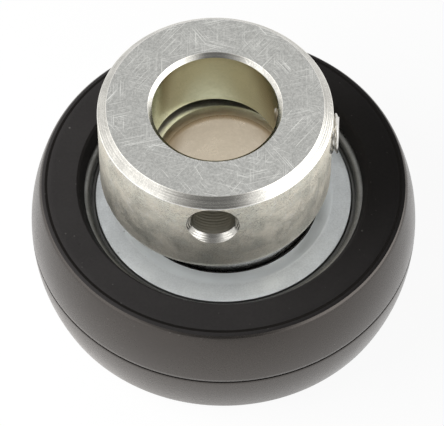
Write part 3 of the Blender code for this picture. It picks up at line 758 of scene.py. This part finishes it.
def plated_zinc(name, shade, painted_light_shade=None, flat_radius=0.0):
    """Zinc plating on sheet steel, with specks and rub marks, and perhaps painted light: a paler flat inside a radius,
    lifting the shadow that the collar casts there.
    """
    zinc = Finish(name, 0.42, (300.0, 5200.0), tint(shade, 0.9), tint(shade, 1.08), 0.55)
    # Painted light: the flat near the collar is laid paler, against the collar's shadow.
    if painted_light_shade:
        flat = ramp(places(zinc.tree)[4], flat_radius + 0.35 * MM, flat_radius - 0.25 * MM)
        zinc.layer(flat, tint(painted_light_shade))
    zinc.layer(zinc.use(turning_marks, 1, spacing=0.0005, waver=120.0) * 0.14, tint(shade, 0.7))
    zinc.layer(zinc.use(random_scratches, fineness=3000.0) * 0.12, tint(shade, 1.3))
    zinc.layer(zinc.use(dust_specks, density=1500.0, rarity=0.9, size=0.24) * 0.6, tint(shade, 0.45))
    return zinc.done(0.5, 0.36, zinc.cloud, 2.0 * MICRON)


def polished_steel(name, shade):
    """Lapped balls: nearly a mirror, with a breath of oil."""
    steel = Finish(name, 0.1, (300.0, 4000.0), tint(shade, 0.93), tint(shade, 1.05))
    return steel.done(0.06, 0.16, steel.cloud, 0.3 * MICRON)


def moulded_plastic(name, shade):
    """Glass filled polyamide, with a fine skin and faint flow marks."""
    plastic = Finish(name, 0.42, (200.0, 4200.0), tint(shade, 0.8), tint(shade, 1.12), 0.0)
    return plastic.done(0.36, 0.52, plastic.cloud, 3.0 * MICRON)


# Pieces


def radial(axis, angle, height):
    """A frame whose +Z points outwards from an upright axis, at an angle and a height."""
    turn = Matrix.Rotation(angle, 4, "Z") @ Matrix.Rotation(math.pi / 2, 4, "Y")
    return Matrix.Translation((axis.x, axis.y, height)) @ turn


class BEARING_OT_rubber_ring(bpy.types.Operator):
    """Build the rubber mounting ring"""

    bl_idname = "bearing.rubber_ring"
    bl_label = "Rubber ring"
    bl_options = {"REGISTER", "UNDO"}

    def execute(self, context):
        rubber = context.scene.bearing_rubber
        half = RUBBER_HALF_WIDTH
        edge_height = half - rubber.edge_radius
        edge_radius = math.sqrt((RUBBER_RADIUS - rubber.edge_radius) ** 2 - edge_height ** 2)
        edge_angle = math.atan2(edge_height, edge_radius)
        parting_angle = rubber.parting_width / 2 / RUBBER_RADIUS
        line_width, line_depth, matt_drop = 0.2 * MM, 0.035 * MM, 0.16 * MM
        edge_line = [(edge_radius - line_width, half), (edge_radius - line_width * 0.6, half - line_depth)]
        upper_edge = edge_line + arc((edge_radius, edge_height), rubber.edge_radius, math.pi / 2, edge_angle, 8)
        upper_side = arc((0.0, 0.0), RUBBER_RADIUS, edge_angle, parting_angle, 18)[1:]
        parting = [(RUBBER_RADIUS - rubber.parting_depth, 0.0)]
        lip_height = OUTER_HALF_WIDTH + rubber.seat_gap
        mouth = rubber.lip_radius + rubber.lip_flare
        upper_lip = [
            (rubber.lip_radius, lip_height, 0.12 * MM),
            (mouth, half - rubber.lip_edge, 0.25 * MM),
            (mouth + rubber.lip_edge, half, 0.12 * MM),
        ]
        seat_radius = SPHERE_RADIUS + rubber.seat_gap
        seat_angle = math.asin(lip_height / seat_radius)
        seat = arc((0.0, 0.0), seat_radius, -seat_angle, seat_angle, 24)
        outer = upper_edge + upper_side + parting + flipped(upper_side) + flipped(upper_edge)
        outline = outer + flipped(upper_lip) + seat + upper_lip

        lip_end, lip_start, lip_sway = 0.3 * MM, 0.4 * MM, 0.009 * MM
        generator = np.random.default_rng(7)
        waves = [(generator.integers(3, 90), generator.uniform(0.0, math.tau)) for _ in range(14)]

        def ragged(radius, height, angle):
            """Leaves the lips' edges a little uneven, as they come from the mould."""
            if radius > mouth + lip_end or abs(height) < OUTER_HALF_WIDTH + lip_start:
                return radius, height
            sway = sum(math.sin(count * angle + phase) / math.sqrt(count) for count, phase in waves)
            return radius + lip_sway * sway, height

        def finish(radius, height):
            """The side, the faces with their lips, or the painted shade along the edge line and in the parting line."""
            drop = half - abs(height)
            parted = drop > half - rubber.parting_width / 2
            # Painted shade: the edge line and the parting line take the darkened material.
            if radius > edge_radius - line_width - MICRON and (parted or drop < line_depth * 0.6):
                return RUBBER_EDGE
            return RUBBER_FACE if radius < edge_radius or drop < matt_drop else RUBBER_SIDE

        piece = lathe(
            "rubber_ring_moulded", outline, CENTRE, longest=0.7 * MM, steps=256, finish=finish, uneven=ragged,
        )
        complete(piece, "outer_unit", "rubber_ring", [
            moulded_rubber(
                "rubber_side", rubber.body, rubber.bloom, rubber.dust, roughness=0.25, dusty=0.2, specular=0.9,
                sheen=0.13,
            ),
            moulded_rubber(
                "rubber_face", rubber.face, rubber.face_bloom, rubber.dust, roughness=0.6, dusty=0.2, specular=0.04,
            ),
            # Painted shade along the edge line and in the parting line.
            moulded_rubber(
                "rubber_edge", rubber.grime, rubber.body, rubber.dust, roughness=0.6, dusty=0.1, specular=0.1,
            ),
        ])
        return {"FINISHED"}


class BEARING_OT_outer_ring(bpy.types.Operator):
    """Build the spherical outer ring"""

    bl_idname = "bearing.outer_ring"
    bl_label = "Outer ring"
    bl_options = {"REGISTER", "UNDO"}

    def execute(self, context):
        rings = context.scene.bearing_rings
        half = OUTER_HALF_WIDTH
        groove_top = half - rings.seal_groove_drop
        groove_bottom = groove_top - rings.seal_groove_width
        edge_angle = math.asin((half - rings.outer_edge) / SPHERE_RADIUS)
        face_radius = math.sqrt(SPHERE_RADIUS ** 2 - half ** 2) - rings.outer_edge
        crown = arc((0.0, 0.0), SPHERE_RADIUS, edge_angle, -edge_angle, 32)
        seat_bend = [
            (rings.seal_seat + rings.seat_edge * (1.0 + x), half - rings.seat_edge_drop * (1.0 - y))
            for x, y in arc((0.0, 0.0), 1.0, math.pi, math.pi / 2, 10)
        ]
        upper = [
            (rings.outer_land, groove_bottom, 0.05 * MM), (rings.seal_groove, groove_bottom, 0.1 * MM),
            (rings.seal_groove, groove_top, 0.1 * MM), (rings.seal_seat, groove_top, 0.08 * MM),
            *seat_bend,
            (face_radius, half, 0.12 * MM),
        ]
        raceway_angle = math.acos((rings.outer_land - rings.outer_groove) / rings.groove_radius)
        raceway = arc((rings.outer_groove, 0.0), rings.groove_radius, -raceway_angle, raceway_angle, 24)
        piece = lathe("outer_ring_turned", crown + flipped(upper) + raceway + upper, CENTRE, LONGEST)
        finish = turned_steel("outer_ring_steel", rings.greased_steel, roughness=0.45, spacing=0.00022)
        complete(piece, "outer_unit", "outer_ring", [finish])
        return {"FINISHED"}


class BEARING_OT_inner_ring(bpy.types.Operator):
    """Build the extended inner ring with its eccentric cam"""

    bl_idname = "bearing.inner_ring"
    bl_label = "Inner ring"
    bl_options = {"REGISTER", "UNDO"}

    def execute(self, context):
        rings = context.scene.bearing_rings
        land = rings.land_radius
        shoulder = rings.shoulder_half
        bore = rings.bore_radius
        bore_edge = rings.bore_edge
        lead_in = rings.lead_in
        raceway_angle = math.acos((rings.inner_groove - SHOULDER_RADIUS) / rings.groove_radius)
        raceway = arc(
            (rings.inner_groove, 0.0), rings.groove_radius, math.pi - raceway_angle, math.pi + raceway_angle, 24
        )
        piece = lathe("inner_ring_ground", [
            (0.0, rings.cam_shoulder), (land, rings.cam_shoulder, 0.3 * MM),
            (land, shoulder, 0.12 * MM), (SHOULDER_RADIUS, shoulder, 0.2 * MM),
            *raceway,
            (SHOULDER_RADIUS, -shoulder, 0.2 * MM), (land, -shoulder, 0.12 * MM),
            (land, INNER_BOTTOM, 0.3 * MM), (0.0, INNER_BOTTOM),
        ], CENTRE, LONGEST)
        cam_bottom = rings.cam_shoulder - REACH
        cam = lathe("cam", [
            (0.0, INNER_TOP), (rings.cam_radius, INNER_TOP, 0.35 * MM), (rings.cam_radius, cam_bottom),
            (0.0, cam_bottom),
        ], CENTRE + CAM_AXIS, LONGEST)

        def finish(radius, height):
            """The ground bore, or the chamfers at its ends."""
            return RING_BORE if INNER_BOTTOM + bore_edge < height < INNER_TOP - lead_in else RING_LEAD_IN

        bored = lathe("bore", [
            (0.0, INNER_TOP + REACH),
            (bore + bore_edge + REACH * bore_edge / lead_in, INNER_TOP + REACH),
            (bore, INNER_TOP - lead_in),
            (bore, INNER_BOTTOM + bore_edge),
            (bore + bore_edge + REACH, INNER_BOTTOM - REACH),
            (0.0, INNER_BOTTOM - REACH),
        ], CENTRE, LONGEST_INSIDE, finish=finish)
        for face in cam.data.polygons:
            if face.center.z > INNER_TOP - TINY:
                face.material_index = RING_END
        carve(piece, [cam], "UNION")
        carve(piece, [bored])
        complete(piece, "inner_ring", "inner_ring", [
            turned_steel("inner_ring_steel", rings.steel, roughness=0.28, spacing=0.0002),
            bored_steel("inner_ring_bore", rings.bore_steel, roughness=0.3, waver=30.0, marked=0.45),
            # Painted highlight: the lead-in takes the paler steel.
            bored_steel("inner_ring_lead_in", rings.lead_in_steel, roughness=0.35, waver=30.0, marked=0.6),
            # Painted highlight: the cam's end takes the paler steel.
            turned_steel("inner_ring_end", rings.end_steel, roughness=0.35, spacing=0.0002),
        ])
        return {"FINISHED"}


class BEARING_OT_balls(bpy.types.Operator):
    """Build the balls and their cage"""

    bl_idname = "bearing.balls"
    bl_label = "Balls and cage"
    bl_options = {"REGISTER", "UNDO"}

    def execute(self, context):
        rings = context.scene.bearing_rings
        steel = polished_steel("ball_steel", rings.ball_steel)
        for name in BALLS:
            mesh = bpy.data.meshes.new(name)
            shape = bmesh.new()
            bmesh.ops.create_cube(shape, size=1.0)
            bmesh.ops.subdivide_edges(shape, edges=shape.edges, cuts=14, use_grid_fill=True)
            for vertex in shape.verts:
                vertex.co = vertex.co.normalized() * BALL_RADIUS
            shape.to_mesh(mesh)
            shape.free()
            piece = new_object(f"{name}_lapped", mesh, middle(name))
            complete(piece, name, name, [steel], sharp=80.0)
        self.build_cage(rings)
        return {"FINISHED"}

    def build_cage(self, rings):
        """The snap cage, whose prongs close over the balls."""
        bottom, top = (corner.z - CENTRE.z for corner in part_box("ball_cage"))
        outer = half_size("ball_cage").x
        inner = SHOULDER_RADIUS + rings.cage_gap
        corners = [(outer, top), (outer, bottom), (inner, bottom), (inner, top)]
        corners = [(*corner, 0.25 * MM) for corner in corners]
        cage = lathe("ball_cage_moulded", corners, CENTRE, 0.8 * MM, steps=160)
        tools = []
        for index, name in enumerate(BALLS):
            sphere = arc((0.0, 0.0), BALL_RADIUS + rings.pocket_gap, math.pi / 2, -math.pi / 2, 24)
            tools.append(lathe(f"pocket_{index}", sphere, middle(name), steps=48))
            tools.append(self.slot_tool(index))
        carve(cage, tools)
        complete(cage, "cage", "ball_cage", [moulded_plastic("cage_plastic", rings.plastic)])

    def slot_tool(self, index):
        """A round-bottomed slot halfway between two balls."""
        side, low, high, inside, reach = 1.0 * MM, -1.2 * MM, 3.0 * MM, 0.9 * MM, 3.0 * MM
        corners = rounded([(side, high), (-side, high), (-side, low, 0.4 * MM), (side, low, 0.4 * MM)])
        rows = [[(depth, across, height) for across, height in corners] for depth in (-reach, reach)]
        rows = [[(-reach, 0.0, inside)], *rows, [(reach, 0.0, inside)]]
        tool = new_object(f"slot_{index}", surface_mesh(f"slot_{index}", rows))
        angle = math.tau * (index + 0.5) / len(BALLS)
        place = CENTRE + Vector((math.cos(angle), math.sin(angle), 0.0)) * PITCH_RADIUS
        tool.matrix_world = Matrix.Translation(place) @ Matrix.Rotation(angle, 4, "Z")
        return tool


class BEARING_OT_seals(bpy.types.Operator):
    """Build the three-piece seals on both sides"""

    bl_idname = "bearing.seals"
    bl_label = "Seals"
    bl_options = {"REGISTER", "UNDO"}

    def execute(self, context):
        seals = context.scene.bearing_seals
        zinc = [
            plated_zinc("washer_zinc", seals.zinc, seals.flat_zinc, seals.washer_flat),
            # Painted shade: the rims, deep in the groove, get a dark zinc.
            plated_zinc("washer_rim", seals.rim),
        ]
        rubber = moulded_rubber("seal_rubber", seals.lip, seals.lip, seals.lip, roughness=0.45, dusty=0.0)
        for side, turn_over in (("upper", list), ("lower", flipped)):
            self.build_side(seals, side, turn_over, zinc, rubber)
        return {"FINISHED"}

    def build_side(self, seals, side, turn_over, zinc, rubber):
        """One seal: outer washer, rubber lip, inner washer."""
        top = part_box("upper_outer_washer")[1].z - CENTRE.z
        slope = top - seals.step
        rim = slope - seals.step
        sheet = seals.thickness
        face = [
            (seals.washer_bore, top, 0.06 * MM),
            (seals.washer_flat, top, 1.2 * MM),
            (seals.washer_slope, slope, 0.22 * MM),
            (seals.washer_slope + seals.step / 2, rim, 0.1 * MM),
            (seals.washer_rim, rim, 0.08 * MM),
        ]
        back = [(radius, height - sheet, fillet * 0.8) for radius, height, fillet in reversed(face)]
        washer = lathe(
            f"{side}_outer_washer_pressed", turn_over(face + back), CENTRE, LONGEST_SHEET, bend=6,
            # The rims beyond the slope take the painted shade material.
            finish=lambda r, z: 1 if r > seals.washer_slope else 0,
        )
        complete(washer, "outer_unit", f"{side}_outer_washer", zinc)
        lip_top = top - sheet - seals.lip_gap
        lip_rim = seals.washer_slope - sheet
        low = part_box("upper_seal_lip")[0].z - CENTRE.z
        tip = bpy.context.scene.bearing_rings.land_radius + seals.land_gap
        neck = tip + seals.lip_edge
        tip_top = top - seals.lip_gap
        lip = lathe(f"{side}_seal_lip_moulded", turn_over([
            (neck, tip_top, 0.04 * MM),
            (neck, lip_top),
            (seals.washer_flat - seals.lip_gap, lip_top),
            (lip_rim, lip_top - seals.step, 0.03 * MM),
            (lip_rim, low, 0.03 * MM),
            (neck, low, 0.04 * MM),
            (tip, tip_top - seals.lip_edge, 0.03 * MM),
        ]), CENTRE)
        complete(lip, "outer_unit", f"{side}_seal_lip", [rubber])
        bore = SHOULDER_RADIUS + seals.washer_gap
        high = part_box("upper_inner_washer")[1].z - CENTRE.z
        corners = [
            (seals.washer_rim, high), (seals.washer_rim, high - sheet), (bore, high - sheet), (bore, high),
        ]
        corners = turn_over([(*corner, 0.06 * MM) for corner in corners])
        washer = lathe(f"{side}_inner_washer_pressed", corners, CENTRE, LONGEST_SHEET)
        complete(washer, "outer_unit", f"{side}_inner_washer", zinc)


class BEARING_OT_locking_collar(bpy.types.Operator):
    """Build the eccentric locking collar"""

    bl_idname = "bearing.locking_collar"
    bl_label = "Locking collar"
    bl_options = {"REGISTER", "UNDO"}

    def execute(self, context):
        collar = context.scene.bearing_collar
        bore = context.scene.bearing_rings.bore_radius
        top = COLLAR_TOP - COLLAR_AXIS.z
        bottom = COLLAR_BOTTOM - COLLAR_AXIS.z
        piece = self.blank(collar, bore, top, bottom)
        for tool in (self.recess(collar), self.drift_hole(collar), self.tapped_hole(context, collar)):
            carve(piece, [tool])
        edges = [
            (COLLAR_RADIUS - collar.top_edge, top, 0.12 * MM),
            (COLLAR_RADIUS, top - collar.top_edge, 0.14 * MM),
            (bore + collar.bore_edge, top, 0.1 * MM),
            (COLLAR_RADIUS, bottom + collar.bottom_edge, 0.14 * MM),
        ]
        complete(piece, "collar", "locking_collar", [
            # The side carries painted shade towards its bottom.
            turned_steel(
                "collar_turned", collar.turned, roughness=0.42, spacing=0.00016, edges=edges, marked=1.2,
                stretch=0.7, waver=1400.0, shade_below=(bottom, top - collar.top_edge * 2.0, 0.5), speckled=0.7,
            ),
            ground_steel("collar_ground", collar.ground, scratches=self.scratches(top)),
            bored_steel("collar_bore", collar.bored, roughness=0.23, marked=0.7),
            bored_steel("collar_drilled", collar.drilled, roughness=0.38),
            turned_steel(
                "collar_chamfer", collar.chamfered, roughness=0.2, spacing=0.0002, edges=edges, marked=1.3,
            ),
        ])
        return {"FINISHED"}

    def blank(self, collar, bore, top, bottom):
        """The turned collar before its recess and holes, with fine rings on its top chamfer."""
        high = (COLLAR_RADIUS - collar.top_edge, top)
        low = (COLLAR_RADIUS, top - collar.top_edge)
        bend_starts, bend_ends = 0.85 * MM, 0.16 * MM
        corners = [
            (*high, 0.05 * MM),
            *ridged(high, low, (-1.0, -1.0), count=5, depth=0.03 * MM, seed=3),
            (*low, 0.05 * MM),
            (COLLAR_RADIUS, bottom + bend_starts, 0.35 * MM),
            (COLLAR_RADIUS - collar.bottom_edge / 2, bottom + bend_ends, 0.1 * MM),
            (COLLAR_RADIUS - collar.bottom_edge, bottom, 0.06 * MM),
            (bore, bottom),
            (bore, top - collar.bore_edge, 0.06 * MM),
            (bore + collar.bore_edge, top, 0.06 * MM),
        ]

        def finish(radius, height):
            """The ground top, the bore, a chamfer or the side."""
            if height > top - 5.0 * MICRON:
                return COLLAR_FACE
            if radius < bore + 10.0 * MICRON:
                return COLLAR_BORE
            chamfered = height > top - collar.top_edge or height < bottom + collar.bottom_edge
            return COLLAR_CHAMFER if chamfered and height > bottom + TINY else COLLAR_SIDE

        return lathe("locking_collar_turned", corners, COLLAR_AXIS, LONGEST, steps=224, bend=5, finish=finish)

    def recess(self, collar):
        """What the recess for the cam takes out of the collar."""
        floor = collar.recess_floor
        radius = collar.recess_radius
        edge = 0.3 * MM
        low = COLLAR_BOTTOM - REACH
        place = CENTRE + CAM_AXIS
        place.z = 0.0
        return lathe("recess", [
            (0.0, floor), (radius, floor, 0.2 * MM), (radius, COLLAR_BOTTOM + edge), (radius + edge + REACH, low),
            (0.0, low),
        ], place, LONGEST_INSIDE, finish=lambda r, z: COLLAR_DRILLED)

    def drift_hole(self, collar):
        """What the drill takes out, with its feed marks and the point of the drill."""
        radius = collar.drift_radius
        floor = COLLAR_RADIUS - collar.drift_depth
        sink = collar.drift_sink
        mouth = (radius + sink, COLLAR_RADIUS)
        throat = (radius, COLLAR_RADIUS - sink)

        def finish(radius, height):
            """The countersink, or the drilled wall and floor."""
            return COLLAR_CHAMFER if height > COLLAR_RADIUS - sink else COLLAR_DRILLED

        hole = lathe("drift_hole", [
            (0.0, COLLAR_RADIUS + REACH),
            (radius + sink + REACH, COLLAR_RADIUS + REACH),
            mouth,
            *ridged(mouth, throat, (1.0, -1.0), count=4, depth=0.03 * MM, seed=5),
            throat,
            *ridged(throat, (radius, floor), (1.0, 0.0), count=8, depth=0.055 * MM, seed=6),
            (radius, floor),
            (0.0, floor - radius / math.tan(DRILL_POINT)),
        ], longest=0.6 * MM, steps=96, finish=finish)
        hole.matrix_world = radial(COLLAR_AXIS, DRIFT_ANGLE, collar.hole_height)
        return hole

    def tapped_hole(self, context, collar):
        """What the drill and the tap take out for the grub screw."""
        screw = context.scene.bearing_screw
        crest = screw.crest_radius + screw.hole_clearance
        thread_depth, inner_end, reach = 0.3 * MM, 5.0 * MM, 1.2 * MM
        tool = thread(
            "tapped_hole", crest + thread_depth, crest, screw.pitch, inner_end, COLLAR_RADIUS + reach,
            index=COLLAR_DRILLED,
        )
        sink_reach = reach * 0.9
        high = COLLAR_RADIUS + sink_reach
        low = COLLAR_RADIUS - collar.screw_sink * 1.3
        sink = lathe("screw_sink", [
            (0.0, high),
            (crest + collar.screw_sink + sink_reach, high),
            (crest, COLLAR_RADIUS - collar.screw_sink),
            (crest * 0.5, low),
            (0.0, low),
        ], steps=96)
        carve(tool, [sink], "UNION")
        tool.matrix_world = radial(COLLAR_AXIS, SCREW_ANGLE, collar.hole_height)
        return tool

    def scratches(self, top):
        """Long scratches on the ground top: place, direction, half length and width, strength."""
        listed = [
            (-1.9, -9.6, 117.0, 1.35, 0.045, 0.95),
            (7.6, -6.2, -30.0, 1.5, 0.03, 0.7),
            (7.9, 6.0, -140.0, 1.9, 0.03, 0.6),
            (0.8, 11.2, 60.0, 1.6, 0.025, 0.6),
            (5.6, 9.0, 35.0, 1.7, 0.03, 0.55),
            (-9.8, 3.0, 25.0, 1.3, 0.025, 0.5),
            (-8.2, -6.8, 65.0, 1.2, 0.025, 0.45),
            (10.6, -1.0, -70.0, 1.4, 0.025, 0.5),
            (-5.0, 10.0, 150.0, 1.5, 0.025, 0.45),
            (3.2, -10.6, 80.0, 1.2, 0.025, 0.5),
        ]
        return [
            ((x * MM, y * MM, top), direction, half * MM, width * MM, strength)
            for x, y, direction, half, width, strength in listed
        ]


class BEARING_OT_grub_screw(bpy.types.Operator):
    """Build the grub screw"""

    bl_idname = "bearing.grub_screw"
    bl_label = "Grub screw"
    bl_options = {"REGISTER", "UNDO"}

    def execute(self, context):
        screw = context.scene.bearing_screw
        outer = COLLAR_RADIUS + screw.stands_out
        inner = outer - screw.screw_length
        cup_radius = screw.cup_radius
        cup_rim, cup_depth, socket_point, mouth_share = 0.1 * MM, 0.6 * MM, 0.5 * MM, 0.86
        piece = thread(
            "grub_screw_threaded", screw.crest_radius, screw.root_radius, screw.pitch, inner, outer,
            [(inner, cup_radius + cup_rim, screw.point), (outer, screw.crest_radius - screw.edge, screw.edge)],
        )
        corner = screw.socket_width / math.sqrt(3.0)
        floor = outer - screw.socket_depth
        socket = lathe("socket", [
            (0.0, outer + REACH), (corner, outer + REACH), (corner, floor), (0.0, floor - socket_point),
        ], steps=6, finish=lambda r, z: 1)
        low = outer - screw.edge
        mouth = lathe("mouth", [
            (0.0, outer + REACH), (corner + REACH, outer + REACH), (corner * mouth_share, low), (0.0, low),
        ], steps=64)
        cup = lathe("cup", [
            (0.0, inner + cup_depth), (cup_radius, inner), (cup_radius, inner - REACH), (0.0, inner - REACH),
        ], steps=64)
        carve(piece, [socket, mouth, cup])
        piece.matrix_world = radial(COLLAR_AXIS, SCREW_ANGLE, context.scene.bearing_collar.hole_height)
        complete(piece, "screw", "grub_screw", [
            turned_steel("screw_steel", screw.steel, roughness=0.3, spacing=0.00014),
            bored_steel("screw_socket", screw.steel, roughness=0.4),
        ])
        return {"FINISHED"}


def ray_kinds(tree):
    """Whether a ray comes from the camera, and whether it was mirrored or let through."""
    path = tree.nodes.new("ShaderNodeLightPath").outputs
    mirrored = Value(path["Is Glossy Ray"]).maths("MAXIMUM", Value(path["Is Transmission Ray"]))
    return Value(path["Is Camera Ray"]), mirrored


def faced(thing, place, target):
    """Puts a lamp or a camera in the scene, facing a point."""
    made = bpy.data.objects.new(thing.name, thing)
    made.location = place
    made.rotation_euler = (Vector(target) - Vector(place)).to_track_quat("-Z", "Y").to_euler()
    bpy.context.scene.collection.objects.link(made)
    return made


class BEARING_OT_stage(bpy.types.Operator):
    """Set up the floor, the lamp and the camera"""

    bl_idname = "bearing.stage"
    bl_label = "Stage"
    bl_options = {"REGISTER", "UNDO"}

    def execute(self, context):
        stage = context.scene.bearing_stage
        context.scene.view_settings.view_transform = "Standard"
        self.floor(stage)
        self.world(context, stage)
        self.lamp(stage)
        self.camera(context, stage)
        return {"FINISHED"}

    def floor(self, stage):
        """A wide pale floor that shows white to the camera and keeps the bearing's shadow."""
        angles = [math.tau * step / 96 for step in range(96)]
        rim = [(stage.floor_radius * math.cos(angle), stage.floor_radius * math.sin(angle), 0.0) for angle in angles]
        mesh = surface_mesh("floor", [[(0.0, 0.0, 0.0)], rim])
        floor = new_object("floor", mesh, (0.0, 0.0, -0.02 * MM))
        material = bpy.data.materials.new("pale_floor")
        material.use_nodes = True
        tree = material.node_tree
        tree.nodes.clear()
        grain = noise(node(tree, "ShaderNodeTexCoord", output=3), 900.0, 3.0)
        tone = mixed(grain, tint(stage.floor, 0.99), tint(stage.floor, 1.01))
        plain = node(tree, "ShaderNodeBsdfDiffuse", {"Color": tone})
        white = node(tree, "ShaderNodeEmission", {"Strength": 1.0})
        seen, mirrored = ray_kinds(tree)
        x, y = places(tree)[1:3]
        dim_starts, dim_ends, dim_side, dim_middle = -0.036, -0.062, 0.045, 0.015
        front = ramp(y, dim_starts, dim_ends) * ramp(x.maths("ABSOLUTE"), dim_side, dim_middle)
        share = (seen * stage.floor_white).maths("MAXIMUM", mirrored - mirrored * front * stage.floor_dim)
        surface = node(tree, "ShaderNodeMixShader", {0: share, 1: plain, 2: white})
        outputs(tree, "ShaderNodeOutputMaterial", {"Surface": surface})
        mesh.materials.append(material)

    def world(self, context, stage):
        """A pale room: white where it is seen or mirrored, softer where it lights."""
        world = bpy.data.worlds.new("pale_room")
        context.scene.world = world
        world.use_nodes = True
        tree = world.node_tree
        tree.nodes.clear()
        seen, mirrored = ray_kinds(tree)
        shown = (self.panels(tree, stage) * mirrored).maths("MAXIMUM", seen)
        lighting = seen.maths("MAXIMUM", mirrored) * -stage.world_light + stage.world_light
        colour_and_strength = {"Color": (1.0, 1.0, 1.0, 1.0), "Strength": lighting + shown}
        background = node(tree, "ShaderNodeBackground", colour_and_strength)
        outputs(tree, "ShaderNodeOutputWorld", {"Surface": background})

    def panels(self, tree, stage):
        """What the metal mirrors: a white room, darker at the front, with a panel at each side."""
        facing = vectors("NORMALIZE", node(tree, "ShaderNodeTexCoord"))
        x, y, z = parts_of(facing)
        shade_width, shade_height, shade_middle = 0.64, 0.4, 0.5
        shade_starts, shade_full, panel_starts, panel_full = 1.15, 0.8, 0.55, 0.95
        aside = x / shade_width
        above = (z - shade_middle) / shade_height
        reach = (aside * aside + above * above).maths("SQRT")
        front = ramp(reach, shade_starts, shade_full) * y.maths("LESS_THAN", 0.0)
        light = ramp(front, 0.0, 1.0, 1.0, stage.front_shade)
        for direction, strength in (
            ((0.915, -0.2, 0.35), stage.right_panel), ((-0.895, -0.28, 0.35), stage.left_panel),
        ):
            nearness = vectors("DOT_PRODUCT", facing, direction, output=1)
            light = light + ramp(nearness, panel_starts, panel_full, 0.0, strength - 1.0)
        return light

    def lamp(self, stage):
        """A soft square lamp at the left, which the metal doesn't mirror."""
        light = bpy.data.lights.new("key_lamp", "AREA")
        light.shape = "SQUARE"
        light.size = stage.key_size
        light.energy = stage.key_power
        lamp = faced(light, stage.key_place, CENTRE)
        lamp.visible_glossy = False
        lamp.visible_camera = False

    def camera(self, context, stage):
        """The photograph's camera."""
        data = bpy.data.cameras.new("camera")
        data.lens = stage.lens
        data.sensor_width = 36.0
        data.sensor_fit = "HORIZONTAL"
        data.clip_start = 0.01
        data.clip_end = 20.0
        context.scene.camera = faced(data, stage.camera_place, stage.camera_target)


SETTINGS = {
    "bearing_rubber": RubberSettings,
    "bearing_rings": RingSettings,
    "bearing_seals": SealSettings,
    "bearing_collar": CollarSettings,
    "bearing_screw": ScrewSettings,
    "bearing_stage": StageSettings,
}

PIECES = [
    BEARING_OT_rubber_ring,
    BEARING_OT_outer_ring,
    BEARING_OT_inner_ring,
    BEARING_OT_balls,
    BEARING_OT_seals,
    BEARING_OT_locking_collar,
    BEARING_OT_grub_screw,
    BEARING_OT_stage,
]


class VIEW3D_PT_insert_bearing(bpy.types.Panel):
    """Sizes, colours and pieces of the bearing"""

    bl_label = "Insert Bearing"
    bl_idname = "VIEW3D_PT_insert_bearing"
    bl_space_type = "VIEW_3D"
    bl_region_type = "UI"
    bl_category = "Bearing"

    def draw(self, context):
        for name, settings in SETTINGS.items():
            box = self.layout.box()
            box.label(text=settings.__doc__)
            for key in settings.__annotations__:
                box.prop(getattr(context.scene, name), key)
        for piece in PIECES:
            self.layout.operator(piece.bl_idname)


def register():
    for name, settings in SETTINGS.items():
        bpy.utils.register_class(settings)
        setattr(bpy.types.Scene, name, PointerProperty(type=settings))
    for piece in PIECES:
        bpy.utils.register_class(piece)
    bpy.utils.register_class(VIEW3D_PT_insert_bearing)


def unregister():
    bpy.utils.unregister_class(VIEW3D_PT_insert_bearing)
    for piece in reversed(PIECES):
        bpy.utils.unregister_class(piece)
    for name, settings in SETTINGS.items():
        delattr(bpy.types.Scene, name)
        bpy.utils.unregister_class(settings)


def main():
    """Builds every piece and the stage."""
    for name in ("Cube", "Light", "Camera"):
        if name in bpy.data.objects:
            bpy.data.objects.remove(bpy.data.objects[name], do_unlink=True)
    register()
    for piece in PIECES:
        family, action = piece.bl_idname.split(".")
        getattr(getattr(bpy.ops, family), action)()


if __name__ == "__main__":
    main()
